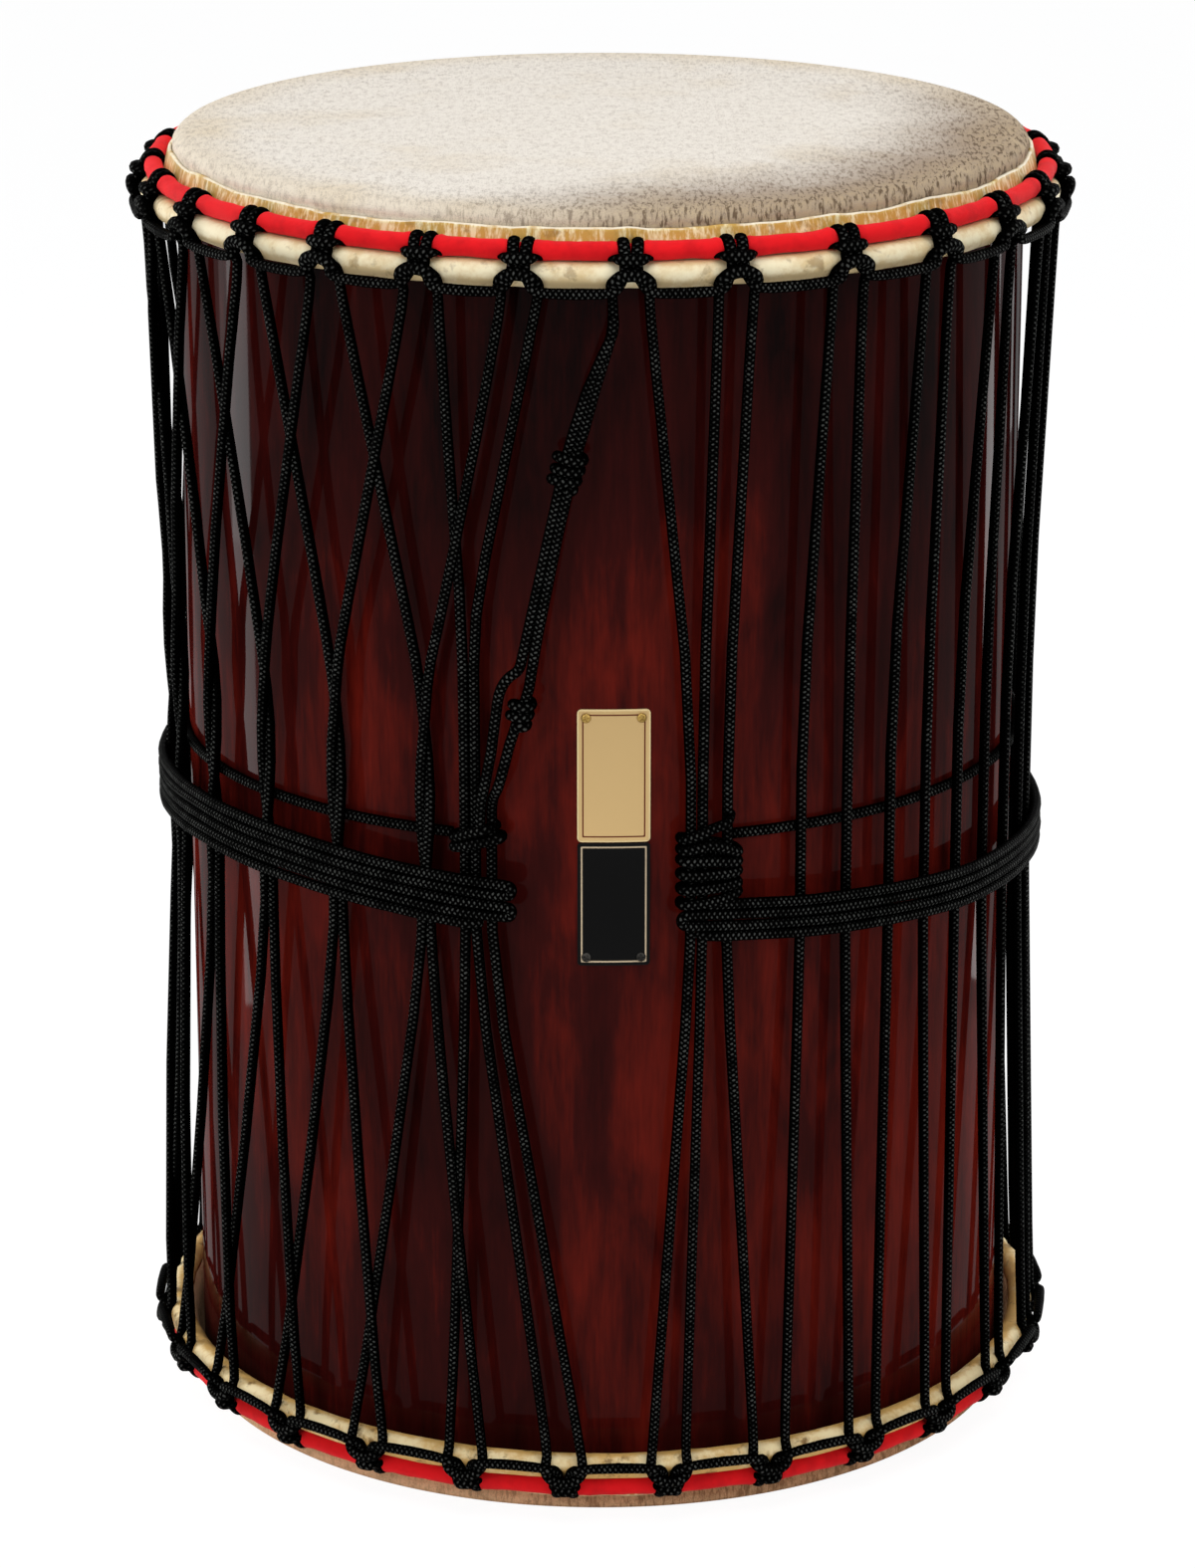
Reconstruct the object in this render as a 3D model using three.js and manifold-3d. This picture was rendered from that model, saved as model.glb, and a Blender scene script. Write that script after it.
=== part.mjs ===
// A dunun, the rope-tuned bass drum of West Africa: a wooden cylinder with a hide head at each
// end, two hoops in each head, and one rope laced between the hoops.
// Millimetres, +Z up. The origin is the middle of the head that the drum stands on, and the
// front, with its two plates, faces -Y. An angle is counted in degrees from the front towards +X,
// and a depth is counted from the nearer head's face into the drum.
import * as THREE from "three";
import { mergeVertices } from "three/addons/utils/BufferGeometryUtils.js";
import Module from "manifold-3d";

const wasm = await Module();
wasm.setup();

const fullTurn = 360;
const radiansPerDegree = Math.PI / 180;

// Wooden shell
const drumHeight = 612;
const shellRadius = 197.5;
const shellWall = 12;
const bearingRound = 8;
const boreChamfer = 4;
const facets = 32;

// Fits between pieces
const seatGap = 0.35;
const ropeGap = 0.4;

// Hide heads, with their edge rolled round the flesh hoop
const hideThickness = 1.5;
const fleshRodRadius = 4;
const fleshStandOff = 11.2;
const fleshDepth = 25.5;
const collarTipDepth = 7;
const rollSteps = 6;
const edgeSteps = 2;

// Cloth-wrapped crown hoop that presses on the roll
const crownRodRadius = 3;
const clothThickness = 0.85;
const clothSeam = 0.8;
const rodSides = 6;

// Rope
const ropeRadius = 2.3;
const pinchedRopeRadius = 1.8;
const ropeSides = 5;

// Hitches, in degrees round the drum. The ones at the front and sides are uneven, as tied by hand,
// and the rest are spread evenly over the back.
const hitchCount = 27;
const topHitches = spreadHitches([-60, -47, -34.5, -21.5, -9.5, 3.5, 16, 30.5, 44.5, 58, 72]);
const bottomHitches = spreadHitches([-57, -43.5, -30.5, -17, -4.5, 8.5, 21.5, 35, 48, 62, 76.5]);

// Cradle rope, hitched over the crown hoop and held out by the lacing
const topStrand = { standOff: 21.2, depth: 32.3 };
const bottomStrand = { standOff: 22.4, depth: 29.5 };
const strandSides = 4;
const hitchHalfWidth = 5;
const barHalfWidth = 8;
const legHalfWidth = 3;
const bandThickness = 4.2;
const legThickness = 1.9;
const crownTurns = [110, 40, -20];
const rollTurns = [52, 8];
const footSpread = 7.8;
const footClearance = 2;

// Lacing
const archShoulderSpread = 5;
const archDepth = 23.3;
const pairedTopHeight = 385;
const bundleTopHeight = 430;
const pairedFootHeight = 268;
const lacingWaistStandOff = 7.7;
const crossingLift = 2.6;
const firstLacedHitch = 5;
const firstPairedHitch = 22;
const lastPairedHitch = 3;
const pairLean = 1;

// Stretches that the two waist knots gather, by hitch and side, and where each lies at the waist
const gatheredRight = { 3: -17.2, 4: -15.8, 5: 11.3, 6: 16 };
const gatheredLeft = { 5: 12.8 };
const leftBundleHitches = [3, 4];
const tailAngle = -13.7;

// Tail of the lacing, two strands side by side with two knots on the way down
const tailKnots = [
  { angle: -4, heightShare: 0.817, turns: 3 },
  { angle: -10.4, heightShare: 0.644, turns: 4 },
];
const tailStandOff = 13;
const tailStrandSpread = 2.1;
const tailLeftEndAngle = -14.8;
const tailLead = 6;
const tailKnotRadius = 7;
const tailKnotGroove = 5.4;
const tailKnotPitch = 5.8;
const tailKnotSides = 8;

// Waist wrap, its knots, and the strand that runs under the lacing
const strandPitch = 5.1;
const windingSides = 6;
const innerStrandHeight = 328;
const leftKnot = { height: 333, turns: 2, from: gatheredRight[3], to: tailAngle };
const rightKnot = { height: 333, turns: 5.5, from: gatheredRight[5], to: gatheredRight[6] };
const knotCornerShare = 0.77;
const wrapRightEnd = 10.5;
const wrapLeftEnd = 348.5;
const wrapStart = 190;
const wrapPasses = 5;
const wrapSteps = 24;
const wrapTopShares = [
  { angle: 10.5, share: 0.4894 },
  { angle: 34, share: 0.4804 },
  { angle: 53, share: 0.4717 },
  { angle: 90, share: 0.4657 },
  { angle: 130, share: 0.4706 },
  { angle: 180, share: 0.4853 },
  { angle: 230, share: 0.5 },
  { angle: 265, share: 0.5082 },
  { angle: 300, share: 0.5172 },
  { angle: 318, share: 0.5158 },
  { angle: 348.5, share: 0.5041 },
];

// Plates and their screws
const plateAngle = 1.7;
const plateThickness = 0.8;
const plateFoot = 267.5;
const plateGap = 0.5;
const lowerPlateSize = { width: 32.5, height: 58, corner: 1.5 };
const upperPlateSize = { width: 32.7, height: 62, corner: 2 };
const screwInset = 4;
const screwShankRadius = 1;
const screwHoleGap = 0.3;
const screwHeadRadius = 2.2;
const screwHeadHeight = 1.2;
const screwLength = 9;
const screwHoleSpare = 1;
const screwSides = 8;
const cutOverrun = 2;

const facetAngle = fullTurn / facets;

function spreadHitches(seen) {
  const hidden = hitchCount - seen.length;
  const first = seen[0] + fullTurn;
  const last = seen[seen.length - 1];
  const rest = Array.from({ length: hidden }, (_, i) => last + ((first - last) * (i + 1)) / (hidden + 1));
  return [...seen, ...rest];
}

// The angle of hitch k, which may run past either end of the list.
function hitchAngle(hitches, k) {
  const turns = Math.floor(k / hitchCount);
  return hitches[k - turns * hitchCount] + turns * fullTurn;
}

function around(angle, radius, height) {
  const turn = angle * radiansPerDegree;
  return new THREE.Vector3(radius * Math.sin(turn), -radius * Math.cos(turn), height);
}

function outward(angle) {
  return around(angle, 1, 0);
}

// Degrees that an arc of this length takes at this radius.
function degreesOf(length, radius) {
  return length / radius / radiansPerDegree;
}

// A point of a section, in radius and depth, at this distance and angle from a centre; a quarter
// turn points back to the head's face.
function offsetFrom(centre, distance, degrees) {
  const turn = degrees * radiansPerDegree;
  return { r: centre.r + distance * Math.cos(turn), d: centre.d - distance * Math.sin(turn) };
}

const lowerPlate = { ...lowerPlateSize, middle: plateFoot + lowerPlateSize.height / 2 };
const upperPlate = {
  ...upperPlateSize,
  middle: plateFoot + lowerPlateSize.height + plateGap + upperPlateSize.height / 2,
};

// Section of one end: the bearing edge, the hide strip over it, the roll and the crown hoop.
const rollBore = fleshRodRadius + seatGap;
const rollRadius = rollBore + hideThickness;
const hideLine = bearingRound + seatGap + hideThickness / 2;
const rollLine = rollBore + hideThickness / 2;
const bearing = { r: shellRadius - bearingRound, d: hideThickness + seatGap + bearingRound };
const roll = { r: shellRadius + fleshStandOff, d: fleshDepth };
const centresAngle = Math.atan2(roll.d - bearing.d, roll.r - bearing.r);
const centresDistance = Math.hypot(roll.r - bearing.r, roll.d - bearing.d);
const wallDrop = centresAngle + Math.asin((hideLine + rollLine) / centresDistance);
const wallNormal = 90 - wallDrop / radiansPerDegree;
const clothRadius = crownRodRadius + clothThickness + seatGap;
const crownStack = rollRadius + clothRadius + seatGap;
const crown = crownCentre();

// Where the strand runs at each end, where the lacing passes under it, and where that lies at the
// waist.
const ends = { top: endSection(topStrand), bottom: endSection(bottomStrand) };
const footAngle = degreesOf(footSpread, ends.top.strand.r);
const rollTurnHalf = ((rollTurns[0] - rollTurns[1]) / 2) * radiansPerDegree;
const rollCorner = (rollRadius + ropeGap) / Math.cos(rollTurnHalf);
const waistRadius = shellRadius + lacingWaistStandOff;
const pairSpread = degreesOf((2 * ropeRadius + ropeGap) / 2, waistRadius);
const tailEndHeight = leftKnot.height + ropeRadius + ropeGap;

function endSection(strand) {
  const r = shellRadius + strand.standOff;
  return {
    strand: { r, d: strand.depth },
    foot: { r: r - 2 * ropeRadius - footClearance, d: strand.depth + 2 * ropeRadius },
  };
}

function endOf(isTop) {
  return isTop ? ends.top : ends.bottom;
}

// The crown hoop stands on the roll and clears the collar, whose outer face leans along the wall.
function crownCentre() {
  const face = (3 * hideThickness) / 2 + seatGap - rollLine;
  const clear = face + seatGap + clothRadius;
  const slide = Math.sqrt(crownStack ** 2 - clear ** 2);
  const out = offsetFrom(roll, clear, wallNormal);
  return offsetFrom(out, slide, wallNormal + 90);
}

// Places along the strip of hide, on one of its two faces: the flat head, the bearing edge, the
// roll round the rod, and the collar that comes back up inside the crown hoop.
function hideFace(side) {
  const half = (side * hideThickness) / 2;
  const points = [{ r: 0, d: hideThickness / 2 - half }];
  for (let i = 0; i <= edgeSteps; i += 1) {
    const angle = 90 + ((wallNormal - 90) * i) / edgeSteps;
    points.push(offsetFrom(bearing, hideLine + half, angle));
  }
  const clearOfRod = side > 0 ? 1 / Math.cos(Math.PI / rollSteps) : 1;
  const radius = (rollLine - half) * clearOfRod;
  const collarLine = rollLine - hideThickness - seatGap + half;
  const leave = Math.acos(collarLine / radius) / radiansPerDegree;
  for (let i = 0; i <= rollSteps; i += 1) {
    const angle = wallNormal + fullTurn / 2 + ((fullTurn - leave) * i) / rollSteps;
    points.push(offsetFrom(roll, radius, angle));
  }
  const last = points[points.length - 1];
  const rise = (last.d - collarTipDepth) / Math.sin(wallDrop);
  points.push(offsetFrom(last, rise, wallNormal + 90));
  return points;
}

// Turns a section given in radius and depth into a body round the axis.
function turned(section, isTop, material) {
  const points = section.map((p) => new THREE.Vector2(p.r, isTop ? drumHeight - p.d : p.d));
  if (THREE.ShapeUtils.area(points) < 0) points.reverse();
  const start = (plateAngle + facetAngle / 2) * radiansPerDegree;
  const geometry = new THREE.LatheGeometry(points, facets, start);
  geometry.rotateX(Math.PI / 2);
  return new THREE.Mesh(geometry, material);
}

function closed(points) {
  return [...points, points[0]];
}

function polygon(centre, radius, sides) {
  return closed(Array.from({ length: sides }, (_, i) => offsetFrom(centre, radius, (-fullTurn * i) / sides)));
}

// A tube through stations { at, radius, up }, flat-ended unless it is a loop.
function tube(stations, sides, isLoop = false) {
  const count = stations.length;
  const vertices = [];
  const faces = [];
  const step = (2 * Math.PI) / sides;
  stations.forEach((station, i) => {
    const before = stations[isLoop ? (i + count - 1) % count : Math.max(i - 1, 0)].at;
    const after = stations[isLoop ? (i + 1) % count : Math.min(i + 1, count - 1)].at;
    const back = station.at.clone().sub(before).normalize();
    const ahead = after.clone().sub(station.at).normalize();
    const along = back.add(ahead).normalize();
    const first = station.up.clone().addScaledVector(along, -station.up.dot(along)).normalize();
    const second = along.clone().cross(first);
    for (let j = 0; j < sides; j += 1) {
      const corner = station.at.clone();
      corner.addScaledVector(first, station.radius * Math.cos(j * step));
      corner.addScaledVector(second, station.radius * Math.sin(j * step));
      vertices.push(corner.x, corner.y, corner.z);
    }
  });
  const spans = isLoop ? count : count - 1;
  for (let i = 0; i < spans; i += 1) {
    for (let j = 0; j < sides; j += 1) {
      const k = (j + 1) % sides;
      const here = i * sides;
      const next = ((i + 1) % count) * sides;
      faces.push(here + j, here + k, next + k, here + j, next + k, next + j);
    }
  }
  for (let j = 1; j < sides - 1 && !isLoop; j += 1) {
    const end = (count - 1) * sides;
    faces.push(0, j + 1, j, end, end + j, end + j + 1);
  }
  return indexed(vertices, faces);
}

function indexed(vertices, faces) {
  const geometry = new THREE.BufferGeometry();
  geometry.setAttribute("position", new THREE.Float32BufferAttribute(vertices, 3));
  geometry.setIndex(faces);
  return geometry;
}

function ropeStation(angle, radius, height, thickness = ropeRadius) {
  return { at: around(angle, radius, height), radius: thickness, up: outward(angle) };
}

function solid(geometry) {
  const bare = geometry.clone();
  bare.deleteAttribute("normal");
  bare.deleteAttribute("uv");
  const merged = mergeVertices(bare);
  const vertProperties = new Float32Array(merged.attributes.position.array);
  const triVerts = new Uint32Array(merged.index.array);
  return new wasm.Manifold(new wasm.Mesh({ numProp: 3, vertProperties, triVerts }));
}

function fromSolid(body) {
  const mesh = body.getMesh();
  const geometry = new THREE.BufferGeometry();
  geometry.setAttribute("position", new THREE.BufferAttribute(mesh.vertProperties, 3));
  geometry.setIndex(new THREE.BufferAttribute(mesh.triVerts, 1));
  return geometry;
}

function joined(geometries) {
  return fromSolid(geometries.map(solid).reduce((whole, piece) => whole.add(piece)));
}

function heightAt(isTop, depth) {
  return isTop ? drumHeight - depth : depth;
}

// Materials
function finish(colour, roughness, metalness = 0) {
  return new THREE.MeshStandardMaterial({ color: colour, roughness, metalness });
}

const lacquer = finish(0x4a1210, 0.25);
const hide = finish(0xd8c9a0, 0.7);
const iron = finish(0x55504a, 0.6, 0.9);
const redCloth = finish(0xd21f26, 0.85);
const blackRope = finish(0x15171a, 0.7);
const goldPlate = finish(0xd2b06a, 0.35, 0.8);
const blackPlate = finish(0x161616, 0.4, 0.3);
const brass = finish(0xb8944a, 0.35, 0.9);

function makeShell() {
  const face = hideThickness + seatGap;
  const bore = shellRadius - shellWall;
  const half = [
    { r: bore, d: face + boreChamfer },
    { r: bore + boreChamfer, d: face },
  ];
  for (let i = 0; i <= edgeSteps; i += 1) {
    half.push(offsetFrom(bearing, bearingRound, 90 + ((wallNormal - 90) * i) / edgeSteps));
  }
  half.push({ r: shellRadius, d: bearing.d });
  const lower = half.map((p) => ({ r: p.r, d: drumHeight - p.d })).reverse();
  const shell = turned(closed([...half, ...lower]), true, lacquer);
  const holes = screwPlaces().map((place) => {
    const length = screwLength + screwHoleSpare + cutOverrun;
    const radius = screwShankRadius + screwHoleGap;
    const hole = new THREE.CylinderGeometry(radius, radius, length, screwSides);
    hole.translate(0, cutOverrun - length / 2, 0);
    return solid(onPlateFacet(hole, place.x, place.z, 0));
  });
  shell.geometry = fromSolid(holes.reduce((body, hole) => body.subtract(hole), solid(shell.geometry)));
  return shell;
}

// Places a geometry whose +Y points out of the drum on the flat facet under the plates.
function onPlateFacet(geometry, across, height, lift) {
  const flat = shellRadius * Math.cos((facetAngle / 2) * radiansPerDegree);
  geometry.rotateX(Math.PI);
  geometry.translate(across, -flat - lift, height);
  geometry.rotateZ(plateAngle * radiansPerDegree);
  return geometry;
}

function screwPlaces() {
  const upper = upperPlate.middle + upperPlate.height / 2 - screwInset;
  const lower = lowerPlate.middle - lowerPlate.height / 2 + screwInset;
  const upperSide = upperPlate.width / 2 - screwInset;
  const lowerSide = lowerPlate.width / 2 - screwInset;
  return [
    { name: "upper_plate_screw_left", x: -upperSide, z: upper, material: brass },
    { name: "upper_plate_screw_right", x: upperSide, z: upper, material: brass },
    { name: "lower_plate_screw_left", x: -lowerSide, z: lower, material: blackPlate },
    { name: "lower_plate_screw_right", x: lowerSide, z: lower, material: blackPlate },
  ];
}

function makePlate(plate, material) {
  const x = plate.width / 2;
  const y = plate.height / 2;
  const c = plate.corner;
  const outline = new THREE.Shape();
  outline.moveTo(c - x, -y);
  outline.lineTo(x - c, -y);
  outline.quadraticCurveTo(x, -y, x, c - y);
  outline.lineTo(x, y - c);
  outline.quadraticCurveTo(x, y, x - c, y);
  outline.lineTo(c - x, y);
  outline.quadraticCurveTo(-x, y, -x, y - c);
  outline.lineTo(-x, c - y);
  outline.quadraticCurveTo(-x, -y, c - x, -y);
  const radius = screwShankRadius + screwHoleGap;
  screwPlaces().forEach((place) => {
    const across = place.z - plate.middle;
    if (Math.abs(across) > y) return;
    const hole = new THREE.Path();
    for (let i = 0; i < screwSides; i += 1) {
      const turn = (2 * Math.PI * i) / screwSides;
      const corner = [place.x + radius * Math.cos(turn), across + radius * Math.sin(turn)];
      if (i === 0) hole.moveTo(...corner);
      else hole.lineTo(...corner);
    }
    hole.closePath();
    outline.holes.push(hole);
  });
  const geometry = new THREE.ExtrudeGeometry(outline, {
    depth: plateThickness,
    bevelEnabled: false,
    curveSegments: 3,
  });
  geometry.rotateX(-Math.PI / 2);
  return new THREE.Mesh(onPlateFacet(geometry, 0, plate.middle, seatGap), material);
}

function makeScrew(place) {
  const seat = seatGap + plateThickness + screwHoleGap;
  const profile = [
    new THREE.Vector2(0, seat - screwLength),
    new THREE.Vector2(screwShankRadius, seat - screwLength),
    new THREE.Vector2(screwShankRadius, seat),
    new THREE.Vector2(screwHeadRadius, seat),
    new THREE.Vector2(screwHeadRadius - screwHeadHeight / 2, seat + screwHeadHeight),
    new THREE.Vector2(0, seat + screwHeadHeight),
  ];
  const geometry = new THREE.LatheGeometry(profile, screwSides);
  return new THREE.Mesh(onPlateFacet(geometry, place.x, place.z, 0), place.material);
}

function makeHead(isTop) {
  const section = [...hideFace(1), ...hideFace(-1).reverse()];
  return turned(section, isTop, hide);
}

function makeCloth(isTop) {
  const inner = crownRodRadius + seatGap;
  const seam = degreesOf(clothSeam / 2, clothRadius);
  const angles = Array.from({ length: rodSides - 1 }, (_, i) => (fullTurn * (i + 1)) / rodSides);
  const sweep = [seam, ...angles, fullTurn - seam].map((angle) => fullTurn / 2 - angle);
  const outer = sweep.map((angle) => offsetFrom(crown, clothRadius, angle));
  const lining = sweep.map((angle) => offsetFrom(crown, inner, angle)).reverse();
  return turned(closed([...outer, ...lining]), isTop, redCloth);
}

// One hitch: a flat double band over the crown hoop, widest where the strands cross, with the two
// legs that run down to the strand.
function hitchBand(angle, isTop) {
  const over = clothRadius + ropeGap;
  const { strand } = endOf(isTop);
  const overCorner = over / Math.cos((crownTurns[0] - crownTurns[1]) * 0.5 * radiansPerDegree);
  const waist = offsetFrom(roll, rollCorner, rollTurns[0]);
  const foot = offsetFrom(roll, rollCorner, rollTurns[1]);
  const front = foot.r + legThickness;
  const onCrown = (turn, half) => ({
    inner: offsetFrom(crown, overCorner, turn),
    outer: offsetFrom(crown, over + bandThickness, turn),
    half,
  });
  const sections = [
    onCrown(crownTurns[0], hitchHalfWidth),
    onCrown(crownTurns[1], hitchHalfWidth),
    onCrown(crownTurns[2], barHalfWidth),
    { inner: waist, outer: { r: front, d: waist.d }, half: hitchHalfWidth },
    { inner: foot, outer: { r: front, d: foot.d }, half: legHalfWidth },
    {
      inner: { r: strand.r - legThickness / 2, d: strand.d },
      outer: { r: strand.r + legThickness / 2, d: strand.d },
      half: legHalfWidth,
    },
  ];
  const vertices = [];
  sections.forEach((section) => {
    const side = degreesOf(section.half, shellRadius + fleshStandOff);
    [section.inner, section.outer].forEach((p) => {
      [-side, side].forEach((offset) => {
        vertices.push(...around(angle + offset, p.r, heightAt(isTop, p.d)).toArray());
      });
    });
  });
  const faces = [];
  const quad = (a, b, c, d) => faces.push(a, b, c, a, c, d);
  for (let i = 0; i < sections.length - 1; i += 1) {
    const a = 4 * i;
    const b = a + 4;
    quad(a, b, b + 1, a + 1);
    quad(a + 1, b + 1, b + 3, a + 3);
    quad(a + 3, b + 3, b + 2, a + 2);
    quad(a + 2, b + 2, b, a);
  }
  const last = 4 * (sections.length - 1);
  quad(0, 1, 3, 2);
  quad(last, last + 2, last + 3, last + 1);
  if (isTop) faces.reverse();
  return indexed(vertices, faces);
}

// The strand that runs from hitch to hitch, joined with the hitches.
function makeCradle(isTop) {
  const hitches = isTop ? topHitches : bottomHitches;
  const { strand } = endOf(isTop);
  const height = heightAt(isTop, strand.d);
  const stations = [];
  hitches.forEach((angle) => {
    [-footAngle, footAngle].forEach((side) => {
      stations.push(ropeStation(angle + side, strand.r, height));
    });
  });
  const bands = hitches.map((angle) => hitchBand(angle, isTop));
  return new THREE.Mesh(joined([tube(stations, strandSides, true), ...bands]), blackRope);
}

// Where the lacing passes a hitch: up behind the strand, out above it and over the band.
function archStations(angle, isTop) {
  const { strand, foot } = endOf(isTop);
  const toStrand = Math.atan2(roll.d - strand.d, strand.r - roll.r) / radiansPerDegree;
  const apart = Math.hypot(strand.r - roll.r, strand.d - roll.d);
  const pinch = offsetFrom(roll, (apart + rollRadius - ropeRadius) / 2, toStrand);
  const front = offsetFrom(roll, rollCorner, rollTurns[1]).r;
  const shoulder = {
    angle: degreesOf(archShoulderSpread, strand.r),
    r: front + legThickness + ropeGap + pinchedRopeRadius,
  };
  const half = (side) => [
    ropeStation(angle + side * footAngle, foot.r, heightAt(isTop, foot.d)),
    ropeStation(angle + side * footAngle, pinch.r, heightAt(isTop, pinch.d), pinchedRopeRadius),
    ropeStation(angle + side * shoulder.angle, shoulder.r, heightAt(isTop, archDepth), pinchedRopeRadius),
  ];
  return [...half(-1), ...half(1).reverse()];
}

// Share of the way at which two ropes, each given by the angles of its ends, cross.
function crossingShare(from, to, otherFrom, otherTo) {
  return (otherFrom - from) / (to - from - (otherTo - otherFrom));
}

function mix(a, b, share) {
  return a + (b - a) * share;
}

function isPaired(k) {
  const hitch = k % hitchCount;
  return hitch >= firstPairedHitch || hitch <= lastPairedHitch;
}

// The angle at the waist of a stretch that leaves hitch k to the right, or hitch k + 1 to the left.
function waistAngle(k, isRight) {
  const turns = Math.floor(k / hitchCount);
  const gathered = (isRight ? gatheredRight : gatheredLeft)[k - turns * hitchCount];
  if (gathered !== undefined) return gathered + turns * fullTurn;
  const pair = isRight ? k + 1 : k;
  const aside = isRight ? -pairSpread : pairSpread;
  if (isPaired(pair)) return hitchAngle(topHitches, pair) - pairLean + aside;
  const top = hitchAngle(topHitches, isRight ? k : k + 1);
  return (top + hitchAngle(bottomHitches, k)) / 2;
}

function lacingRadiusAt(height) {
  const isAbove = height > pairedTopHeight;
  const { foot } = endOf(isAbove);
  const from = isAbove ? pairedTopHeight : pairedFootHeight;
  const share = (height - from) / (heightAt(isAbove, foot.d) - from);
  return mix(waistRadius, foot.r, Math.max(share, 0));
}

// The stations between the two hitches of one stretch, from its top to its foot.
function stretchStations(k, isRight) {
  const side = isRight ? 1 : -1;
  const topAngle = hitchAngle(topHitches, isRight ? k : k + 1) + side * footAngle;
  const bottomAngle = hitchAngle(bottomHitches, k) - side * footAngle;
  const waist = waistAngle(k, isRight);
  const isBundled = isRight && leftBundleHitches.includes(k % hitchCount);
  const station = (angle, height, lift = 0) => ropeStation(angle, lacingRadiusAt(height) + lift, height);
  const stations = [station(waist, pairedTopHeight), station(waist, pairedFootHeight)];
  if (isBundled) stations.unshift(station(waist, bundleTopHeight));
  if (!isPaired(k) && !isPaired(k + 1)) return stations;
  const otherTop = hitchAngle(topHitches, isRight ? k + 1 : k) - side * footAngle;
  const otherWaist = waistAngle(k, !isRight);
  const otherBottom = hitchAngle(bottomHitches, k) + side * footAngle;
  const lift = isRight ? -crossingLift : crossingLift;
  const upper = crossingShare(topAngle, waist, otherTop, otherWaist);
  const lower = crossingShare(waist, bottomAngle, otherWaist, otherBottom);
  const upperHeight = mix(heightAt(true, ends.top.foot.d), pairedTopHeight, upper);
  const lowerHeight = mix(pairedFootHeight, ends.bottom.foot.d, lower);
  if (upper > 0 && upper < 1) stations.unshift(station(mix(topAngle, waist, upper), upperHeight, lift));
  if (lower > 0 && lower < 1) stations.push(station(mix(waist, bottomAngle, lower), lowerHeight, lift));
  return stations;
}

// One rope: over a hitch of the top head, down, round a hitch of the bottom head and up again,
// all the way round the drum. It starts under the sixth hitch, where the tail takes over.
function makeLacing() {
  const { foot } = ends.top;
  const lead = heightAt(true, foot.d) - tailLead;
  const stations = [ropeStation(topHitches[firstLacedHitch] - footAngle, foot.r, lead)];
  for (let k = firstLacedHitch; k < firstLacedHitch + hitchCount; k += 1) {
    stations.push(...archStations(hitchAngle(topHitches, k), true));
    stations.push(...stretchStations(k, true));
    stations.push(...archStations(hitchAngle(bottomHitches, k), false));
    if (k < firstLacedHitch + hitchCount - 1) stations.push(...stretchStations(k, false).reverse());
  }
  const end = tailAngle + fullTurn;
  stations.push(ropeStation(end, waistRadius, pairedFootHeight));
  stations.push(ropeStation(end, waistRadius, tailEndHeight));
  return new THREE.Mesh(tube(stations, ropeSides), blackRope);
}

// A knot of several turns, as a ridged barrel whose axis runs along the rope.
function knotBarrel(middle, along, turns) {
  const profile = [new THREE.Vector2(0, 0)];
  for (let n = 0; n < turns; n += 1) {
    profile.push(new THREE.Vector2(tailKnotGroove, n * tailKnotPitch));
    profile.push(new THREE.Vector2(tailKnotRadius, (n + 1 / 2) * tailKnotPitch));
  }
  const length = turns * tailKnotPitch;
  profile.push(new THREE.Vector2(tailKnotGroove, length), new THREE.Vector2(0, length));
  const barrel = new THREE.LatheGeometry(profile, tailKnotSides);
  barrel.translate(0, -length / 2, 0);
  barrel.applyQuaternion(new THREE.Quaternion().setFromUnitVectors(new THREE.Vector3(0, 1, 0), along));
  barrel.translate(middle.x, middle.y, middle.z);
  return barrel;
}

// Two strands that carry on from the start of the lacing down to the left knot. They start one
// behind the other, pass through two knots side by side, and the left one ends in front.
function makeTail() {
  const startAngle = topHitches[firstLacedHitch] - footAngle;
  const { foot } = ends.top;
  const startHeight = heightAt(true, foot.d) - tailLead - ropeGap;
  const radius = shellRadius + tailStandOff;
  const places = tailKnots.map((knot) => ({ ...knot, height: knot.heightShare * drumHeight }));
  const strands = [-1, 1].map((side) => {
    const startRadius = foot.r - (side < 0 ? 2 * ropeRadius : 0);
    const endAngle = side < 0 ? tailLeftEndAngle : tailAngle;
    const endRadius = side < 0 ? waistRadius + 2 * ropeRadius : waistRadius;
    return tube(
      [
        ropeStation(startAngle, startRadius, startHeight),
        ropeStation(startAngle, startRadius, startHeight - tailLead),
        ...places.map((place) => {
          const aside = degreesOf(side * tailStrandSpread, radius);
          return ropeStation(place.angle + aside, radius, place.height);
        }),
        ropeStation(endAngle, endRadius, tailEndHeight + ropeGap + tailLead),
        ropeStation(endAngle, endRadius, tailEndHeight + ropeGap),
      ],
      ropeSides,
    );
  });
  const start = around(startAngle, foot.r, startHeight - tailLead);
  const middles = places.map((place) => around(place.angle, radius, place.height));
  const barrels = places.map((place, i) => {
    const along = (middles[i - 1] ?? start).clone().sub(middles[i]).normalize();
    return knotBarrel(middles[i], along, place.turns);
  });
  return new THREE.Mesh(joined([...strands, ...barrels]), blackRope);
}

// Least clear distance of a winding to itself, measured between its stations.
function leastGap(stations, skipped) {
  let least = Infinity;
  stations.forEach((station, i) => {
    stations.slice(i + skipped).forEach((other) => {
      least = Math.min(least, station.at.distanceTo(other.at) - station.radius - other.radius);
    });
  });
  return least;
}

function wound(name, stations, sides, skipped) {
  console.log(`${name}: least gap to itself ${leastGap(stations, skipped).toFixed(2)} mm`);
  return new THREE.Mesh(tube(stations, sides), blackRope);
}

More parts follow.
